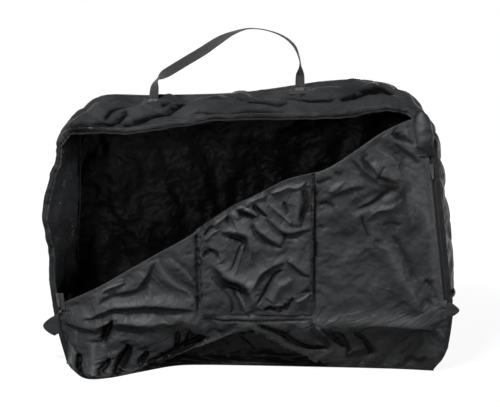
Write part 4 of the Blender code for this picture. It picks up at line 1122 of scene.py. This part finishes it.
def flap_surface(u, v):
    """The tucked corner: hangs from its fold, leans back into the bag and lies over the bend at the panel's foot."""
    along = unit(FOLD_END - FOLD_START)
    down = np.array([along[2], 0, -along[0]])
    share = spline(FLAP_SHARES, u * (len(FLAP_SHARES) - 1))[..., 0]
    reach = FLAP_REACH * share * v
    p = mix(FOLD_START, FOLD_END, u[..., None]) + down * reach[..., None]
    panel = FLAP_FACE - proud(p[..., 0], np.maximum(p[..., 2], KNUCKLE))
    low = np.maximum(0.210 - p[..., 2], 0)
    p[..., 1] = panel + 0.0085 + np.maximum(reach * FLAP_LEAN, 1.4 * low)
    return p


def make_flap():
    n, m = 210, 70
    u, v = spread(n, m)
    base = flap_surface(u, v)
    made = wrinkle(
        base, pins(n, m, 0, 3), (0.03, 0.02), 0.009 * (0.1 + 0.9 * ramp(v / 0.2)), 83,
        kick=((0.05, 0.004), (0.02, 0.002), (0.010, 0.0006)),
        levels=((0.35, 40), (0.7, 30), (1.0, 14)),
    )
    made[..., 1] = np.maximum(made[..., 1], base[..., 1] - 0.0012)
    obj = sheet_object("flap_cloth", made, NYLON, inside=SHADED_INSIDE)
    return keep(obj, "tucked_corner", ("tucked_flap",)), made


# Zip

TAPE_START, COIL_START, CHAIN_GAP = 0.0018, 0.0162, 0.0017
TOOTH_PITCH = 0.0019
TOOTH = (0.0012, 0.0034, 0.0024)
TAPE_THICK = 0.0007
RUN_UP = np.array((-0.1427595, 0, 0.9897575))
LEFT_UP = np.array((-0.106347, 0, 0.994329))


def mouth_place(s, inset, deep=0.0):
    """Point of the mouth's tape, which hangs a little loose where the zip is open."""
    inset = np.broadcast_to(np.asarray(inset, float), s.shape)
    loose = ramp((s - 1.9) / 0.5) * ramp((12.2 - s) / 0.5) * np.clip(inset / 0.0165, 0, 1.1)
    at = np.stack([s, 0 * s], -1)
    out = outward(s)
    p = loose_rim(s) - out * inset[..., None]
    p = p + out * (loose * 0.0020 * octaves(at, 0.45, 15, 3))[..., None]
    p[..., 1] += 0.0004 + deep + loose * 0.0045 * octaves(at, 0.40, 16, 3)
    return p


def chain_point(station, up, offset, run):
    """Point beside a straight closed stretch: offset across it from its middle, run up it."""
    foot = front_rim(np.array(station)) - outward(np.array(station)) * CHAIN_INSET + (0, 0.0004, 0)
    across = np.cross(up, (0, -1.0, 0))
    return foot + across * np.asarray(offset)[..., None] + up * np.asarray(run)[..., None]


def teeth_object(name, points, ahead, across):
    """Single teeth along a line, turned by its direction and a direction roughly across it."""
    deep = unit(np.cross(ahead, across))
    return boxes_object(name, points, ahead, unit(np.cross(deep, ahead)), deep, TOOTH, TEETH)


def make_zip(flap):
    runs = (("left", LEFT_STOP, LEFT_END), ("top", LEFT_END, ROOF_END), ("right", ROOF_END, RIGHT_STOP))
    for name, first, last in runs:
        s = np.linspace(first, last, 300)
        lines = [mouth_place(s, w) for w in np.linspace(TAPE_START - 0.001, COIL_START + 0.0008, 7)]
        keep(strip_object("tape_" + name, lines, TAPE_CLOTH, TAPE_THICK), "bag", ("zip_tape_" + name,))
        middle = mouth_place(np.linspace(first + 0.02, last, 1500), COIL_START + COIL / 2 + 0.0002)
        points, ahead = even_points(middle, TOOTH_PITCH)
        teeth = teeth_object("teeth_" + name, points, ahead, unit(turned(ahead)))
        keep(teeth, "bag", ("zip_coil_" + name,))
    for name, station, up, top, way, body in (
        ("right", RIGHT_STOP, RUN_UP, 0.4215, -1, "front_cloth"), ("left", LEFT_STOP, LEFT_UP, 0.052, 1, "bag"),
    ):
        run = np.linspace(0, top, 220)
        near = CHAIN_GAP / 2 + COIL
        lines = [chain_point(station, up, way * w + 0 * run, run) for w in np.linspace(near - 0.0008, near + TAPE, 6)]
        tape = strip_object("front_tape_" + name, lines, TAPE_CLOTH, TAPE_THICK)
        keep(tape, body, ("front_zip_tape_" + name,))
        middle = chain_point(station, up, way * (CHAIN_GAP / 2 + COIL / 2 - 0.0002) + 0 * run, run)
        points, ahead = even_points(middle, TOOTH_PITCH, 0.0)
        teeth = teeth_object("front_teeth_" + name, points, ahead, unit(turned(ahead)))
        keep(teeth, body, ("front_zip_coil_" + name,))
    edge = flap[:, -1]
    down = unit(edge - flap[:, -4])
    lines = [edge + down * w for w in np.linspace(-0.002, 0.0150, 6)]
    keep(strip_object("flap_tape", lines, TAPE_CLOTH, TAPE_THICK), "tucked_corner", ("flap_zip_tape",))
    share = np.linspace(0, 1, len(edge))
    points, ahead = even_points(line_at(np.linspace(0, 1, 900), share, edge + down * 0.0165), TOOTH_PITCH)
    teeth = teeth_object("flap_teeth", points, ahead, line_at(np.linspace(0, 1, len(points)), share, down))
    keep(teeth, "tucked_corner", ("flap_zip_coil",))


# Small sewn parts


def make_binding():
    """Tape folded over the seam inside the back."""
    s = np.linspace(0.05, LAST - 0.05, 700)
    rim, out = back_rim(s), outward(s)
    rows = []
    for turn in np.linspace(0, math.pi, 7):
        inset = 0.0020 + 0.0018 * (1 - math.cos(turn)) / 2
        rows.append(rim * (1, 0, 1) - out * inset + (0, 0.1292 - 0.0095 * math.sin(turn), 0))
    keep(strip_object("seam_binding", rows, TAPE_CLOTH, 0.0006), "bag", ("back_seam_binding",))


def make_tabs():
    """Ears of cloth over both ends of the zip. The left one is larger, as in the photo."""
    for name, side, station, up, grown in (
        ("left", -1, LEFT_STOP, LEFT_UP, 1.5), ("right", 1, RIGHT_STOP, RUN_UP, 1.0),
    ):
        rim = front_rim(np.array(station))
        top = chain_point(station, up, 0.0, 0.0)[2] - 0.0082
        u, v = spread(18, 24)
        ear = np.sin(math.pi * v)
        outer, inner = rim[0] + side * 0.022 * grown * ear ** 0.8, rim[0] - side * 0.016
        x = mix(outer, inner, u)
        z = top - 0.042 * grown * (1 - v) + 0.002 * np.sin(2 * math.pi * v) * (1 - u) - 0.02 * (grown - 1) * (1 - u)
        y = -0.1326 - 0.0045 * (1 - u) * ear - 0.0012 * np.sin(3 * math.pi * v) * (1 - u)
        obj = sheet_object("zip_end_" + name, np.stack([x, y, z], -1), NYLON_FIRM, 0.0012, side > 0)
        keep(obj, "bag", ("zip_end_tab_" + name,))


def roof_point(x, y, lift):
    """Points over the roof at x and y, lifted off its outer face."""
    x, y = np.broadcast_arrays(np.asarray(x, float), np.asarray(y, float))
    v = (y + HALF_DEPTH) / (2 * HALF_DEPTH)
    low, high = np.full(x.shape, LEFT_END), np.full(x.shape, ROOF_END)
    for _ in range(30):
        middle = (low + high) / 2
        before = gusset(middle, v)[..., 0] < x
        low, high = np.where(before, middle, low), np.where(before, high, middle)
    return gusset((low + high) / 2, v, lift)


STRAP_LEFT, STRAP_RIGHT, STRAP_Y, STRAP_RISE, STRAP_SEAT = -0.292, 0.152, 0.070, 0.185, 0.0053
TAIL, PATCH = 0.042, (0.064, 0.078)
# Share of the way from the left end to the right, share of the rise, and turn in degrees
STRAP_ROWS = (
    (0.000, 0.000, 90), (0.003, 0.090, 80), (0.010, 0.185, 63), (0.030, 0.300, 15), (0.062, 0.360, 50),
    (0.120, 0.430, 86), (0.225, 0.560, 88), (0.340, 0.700, 80), (0.450, 0.850, 55), (0.550, 0.950, 20),
    (0.655, 1.000, 2), (0.775, 0.950, 0), (0.885, 0.830, 6), (0.960, 0.660, 12), (0.995, 0.450, 5),
    (1.000, 0.320, 15), (1.000, 0.200, 60), (1.000, 0.100, 79), (1.000, 0.000, 90),
)


def make_strap():
    left, right = (roof_point(x, STRAP_Y, STRAP_SEAT) for x in (STRAP_LEFT, STRAP_RIGHT))
    share = np.linspace(0, 1, 320)
    rows = spline(STRAP_ROWS, share * (len(STRAP_ROWS) - 1))
    place = mix(left, right, rows[:, :1]) + np.outer(rows[:, 1] * STRAP_RISE, (0, 0, 1))
    ahead = unit(np.gradient(place, axis=0))
    for end, x in ((0, STRAP_LEFT), (-1, STRAP_RIGHT)):
        slope = unit(roof_point(x + 0.014, STRAP_Y, 0.0) - roof_point(x - 0.014, STRAP_Y, 0.0))
        ahead[end] = np.cross(slope, BACK) * (-1 if end else 1)
    angle = np.radians(rows[:, 2])[:, None]
    wide = BACK * np.cos(angle) + np.cross(ahead, BACK) * np.sin(angle)
    thick = unit(np.cross(ahead, wide))
    lines = []
    for w in np.linspace(-1, 1, 11):
        cup = 0.0009 * (w * w - 0.4) * np.sin(math.pi * share)
        lines.append(place + wide * w * STRAP_WIDTH / 2 + thick * cup[:, None])
    keep(strip_object("carry_webbing", lines, WEBBING, 0.0016), "handle", ("carry_strap",))
    seams = []
    for w in (-0.80, 0.80):
        line = place + wide * w * STRAP_WIDTH / 2
        seams += [(line[6:-6], thick[6:-6] * lift) for lift in (0.0010, -0.0010)]
    keep(stitches("strap_stitches", seams), "handle")


def over_roof(x, y, lift):
    """Points straight over the roof at x and y."""
    return roof_point(x, y, 0.0) + np.stack([0 * lift, 0 * lift, lift], -1)


def roof_seam(corners, centre, scale, count, lift):
    """A seam on the roof through corners, given about a centre and in shares of a size."""
    corners = np.array(corners) * scale
    t = np.linspace(0, len(corners) - 1, count)
    at = line_at(t, np.arange(len(corners)), corners)
    line = roof_point(centre[0] + at[:, 0], centre[1] + at[:, 1], 0.0)
    return line, np.tile((0, 0, lift), (len(line), 1))


def make_patches():
    seams = []
    wide, deep = PATCH
    back = STRAP_Y + 0.012
    for name, x0 in (("left", STRAP_LEFT), ("right", STRAP_RIGHT)):
        u, v = spread(30, 36)
        round_off = 0.006 * np.clip(1 - np.minimum(u, 1 - u) * 10, 0, 1) ** 2
        x = x0 + (u - 0.5) * wide
        y = mix(back - deep, back, v)
        y = y + np.where(v < 0.5, round_off, -round_off) * np.abs(2 * v - 1) ** 2
        edge = np.minimum.reduce([u * wide, (1 - u) * wide, v * deep, (1 - v) * deep])
        lift = 0.0010 + 0.0009 * ramp(edge / 0.0025) - 0.0005 * bell((edge - 0.005) / 0.0014)
        lift = lift + 0.0005 * octaves(np.stack([x, y], -1), 0.014, 3, 2)
        patch = sheet_object("patch_" + name, over_roof(x, y, lift), NYLON_FIRM, 0.0008)
        keep(patch, "bag", ("handle_patch_" + name,))
        u, v = spread(14, 24)
        x, y = x0 + (u - 0.5) * STRAP_WIDTH, STRAP_Y - TAIL * (1 - v)
        tail = over_roof(x, y, 0.0034 + 0.0003 * np.cos(2 * math.pi * u))
        keep(sheet_object("tail_" + name, tail, WEBBING, 0.0014), "bag", ("strap_tail_" + name,))
        low, high = 0.06 - 1, 0.86 - 1
        for route in (
            ((-0.8, low), (0.8, low), (0.8, high), (-0.8, high), (-0.8, low)),
            ((-0.8, low), (0.8, high)), ((0.8, low), (-0.8, high)),
        ):
            seams.append(roof_seam(route, (x0, STRAP_Y), (STRAP_WIDTH / 2, TAIL), 60, 0.0036))
        ring = ((-1, -1), (1, -1), (1, 1), (-1, 1), (-1, -1))
        seams.append(roof_seam(ring, (x0, back - deep / 2), (0.027, 0.034), 160, 0.0018))
    keep(stitches("seat_stitches", seams), "bag")


STITCH = (0.0027, 0.0007, 0.0006)


def stitches(name, seams):
    """Rows of thread: each seam is a line of points and the lift of its thread there."""
    parts = []
    for line, lift in seams:
        points, ahead = even_points(line, STITCH_PITCH)
        raised = line_at(np.linspace(0, 1, len(points)), np.linspace(0, 1, len(line)), lift)
        up = unit(raised)
        parts.append((points + raised, ahead, unit(np.cross(up, ahead)), up))
    joined = [np.concatenate([part[k] for part in parts]) for k in range(4)]
    return boxes_object(name, *joined, STITCH, THREAD, taper=0.8)


def grid_seam(p, rows, cols, lift=0.0007):
    """A seam along one row or column of a grid of cloth."""
    return p[rows, cols], (grid_normals(p) * lift)[rows, cols]


def make_stitches(front, pocket, strip, flap):
    every, sides = slice(None), slice(1, 188)
    seams = [grid_seam(front, row, slice(40, 188)) for row in (-3, -5)] + [grid_seam(front, slice(2, 338), 185)]
    keep(stitches("front_stitches", seams), "front_cloth")
    seams = [grid_seam(pocket, row, sides) for row in (2, -3, 5, -6)]
    seams += [grid_seam(pocket, slice(1, 149), col) for col in (2, 5, 184)]
    keep(stitches("pocket_stitches", seams), "front_cloth")
    keep(stitches("flap_stitches", [grid_seam(flap, every, col) for col in (-3, -6)]), "tucked_corner")
    seams = [grid_seam(strip, every, col) for col in (9, 77)]
    line = mouth_place(np.linspace(LEFT_STOP, RIGHT_STOP, 1500), 0.0055)
    seams.append((line, np.tile((0, -0.0012, 0), (len(line), 1))))
    keep(stitches("bag_stitches", seams), "bag")


def make_pleat():
    """The rolled fold on the panel's top right corner."""
    top = front_rim(np.array(RUN_TOP - 1))
    n, m = 40, 60
    u, v = spread(n, m)
    width, height, depth = 0.052, 0.124, 0.026
    past = np.clip((v - 0.55) / 0.45, 0, 1)
    size = np.maximum(np.sqrt(1 - past ** 2), 0.15)
    turn = math.pi * u
    z = top[2] + height * (v - 0.34)
    x = top[0] - width / 2 - width / 2 * size * np.cos(turn) + RUN_UP[0] * height * v
    y = -0.1318 - depth * size * np.sin(turn) * ramp(v / 0.5 + 0.1)
    made = wrinkle(
        np.stack([x, y, z], -1), pins(n, m), (0.02, 0.04), 0.005, 97,
        kick=((0.02, 0.003), (0.01, 0.001)), levels=((0.5, 30), (1.0, 16)),
    )
    # Painted highlight down the middle of the rolled fold, painted shade beside it and along its first edge
    shade = 0.9 * bell((u - 0.38) / 0.13) - 0.5 * bell((u - 0.72) / 0.10) - 0.3 * (1 - ramp(u / 0.12))
    return keep(sheet_object("pleat_cloth", made, NYLON, 0.0008, shade=shade), "front", ("corner_fold",))


# Stage


def seen_rays(n):
    """1 for the rays that show the background: the camera's, and those in reflections and through glass."""
    rays = n.add("ShaderNodeLightPath").outputs
    seen = n.maths("MAXIMUM", rays["Is Camera Ray"], rays["Is Glossy Ray"])
    return n.maths("MAXIMUM", seen, rays["Is Transmission Ray"])


def make_floor():
    """White where it shows as background, and dark for the light that falls on the bag."""
    n = Nodes(bpy.data.materials.new("floor_white"))
    surface = {"Base Color": (0.09, 0.09, 0.09, 1), "Roughness": 0.9, "Specular IOR Level": 0.1}
    material = n.fill("Principled BSDF", surface)
    place = n.add("ShaderNodeNewGeometry").outputs["Position"]
    far = n.add("ShaderNodeVectorMath", {0: place}, operation="LENGTH").outputs["Value"]
    glow = n.add("ShaderNodeEmission", {"Color": (1, 1, 1, 1), "Strength": n.remap(far, 0.9, 2.6, 0.88, 1.0)})
    dark = n.add("ShaderNodeEmission", {"Color": (0, 0, 0, 1), "Strength": 0.0})
    chosen = n.add("ShaderNodeMixShader", {0: seen_rays(n), 1: dark.outputs[0], 2: glow.outputs[0]})
    both = n.add("ShaderNodeAddShader", {0: n.tree.nodes["Principled BSDF"].outputs[0], 1: chosen.outputs[0]})
    n.fill("Material Output", {0: both.outputs[0]})
    size, z = 30.0, -0.0004
    points = [(x * size, y * size, z) for x, y in ((-1, -1), (1, -1), (1, 1), (-1, 1))]
    mesh_object("floor", points, [(0, 1, 2, 3)], material)


def make_world():
    """Weak light from all sides, and white low behind the bag where it shows as background."""
    world = bpy.data.worlds.new("studio")
    bpy.context.scene.world = world
    n = Nodes(world)
    place = n.add("ShaderNodeTexCoord").outputs["Generated"]
    height = n.add("ShaderNodeSeparateXYZ", {0: place}).outputs[2]
    low = n.remap(height, 0.12, 0.30, 1.0, 0.0, interpolation_type="SMOOTHSTEP")
    strength = n.maths("MULTIPLY_ADD", n.maths("MULTIPLY", seen_rays(n), low), 1.0 - WORLD, WORLD)
    n.fill("Background", {"Color": (1, 1, 1, 1), "Strength": strength})


WORLD = 0.015
# Name, place, aim, size in metres and watts
LIGHTS = (
    ("key", (-0.8, -1.45, 2.9), (0.0, -0.1, 0.25), (0.7, 0.25), 150),
    ("glint", (-1.3, -2.5, 1.3), (0.0, -0.1, 0.30), (0.35, 0.35), 26),
    ("fill", (2.6, -1.0, 1.5), (0.0, -0.1, 0.4), (0.3, 0.8), 40),
    ("back", (0.4, 2.9, 0.7), (0.0, 0.1, 0.4), (1.2, 0.4), 60),
)


def make_lights():
    for name, place, aim, size, watts in LIGHTS:
        data = bpy.data.lights.new(name, "AREA")
        data.shape, data.size, data.size_y, data.energy = "RECTANGLE", *size, watts
        lamp = bpy.data.objects.new(name, data)
        lamp.location = place
        lamp.rotation_euler = (Vector(aim) - Vector(place)).to_track_quat("-Z", "Y").to_euler()
        bpy.context.scene.collection.objects.link(lamp)


def make_camera():
    data = bpy.data.cameras.new("camera")
    data.lens, data.sensor_width = LENS, SENSOR
    camera = bpy.data.objects.new("camera", data)
    camera.location = TARGET + BACKWARD * DISTANCE
    camera.rotation_euler = BACKWARD.to_track_quat("Z", "Y").to_euler()
    bpy.context.scene.collection.objects.link(camera)
    bpy.context.scene.camera = camera
    bpy.context.scene.view_settings.view_transform = "Standard"


front_obj, front = make_front()
pocket_obj, pocket = make_pocket()
strip_obj, strip = make_gusset()
back_obj = make_back()
base_obj = make_base()
flap_obj, flap = make_flap()
pleat_obj = make_pleat()
make_zip(flap)
make_binding()
make_tabs()
make_strap()
make_patches()
make_stitches(front, pocket, strip, flap)
for node in ("zip_stop_left", "zip_stop_right", "left_slider", "right_slider", "left_pull", "right_pull"):
    for place in frame["nodes"][node].material_slots:
        place.material = METAL

make_floor()
make_world()
make_lights()
make_camera()
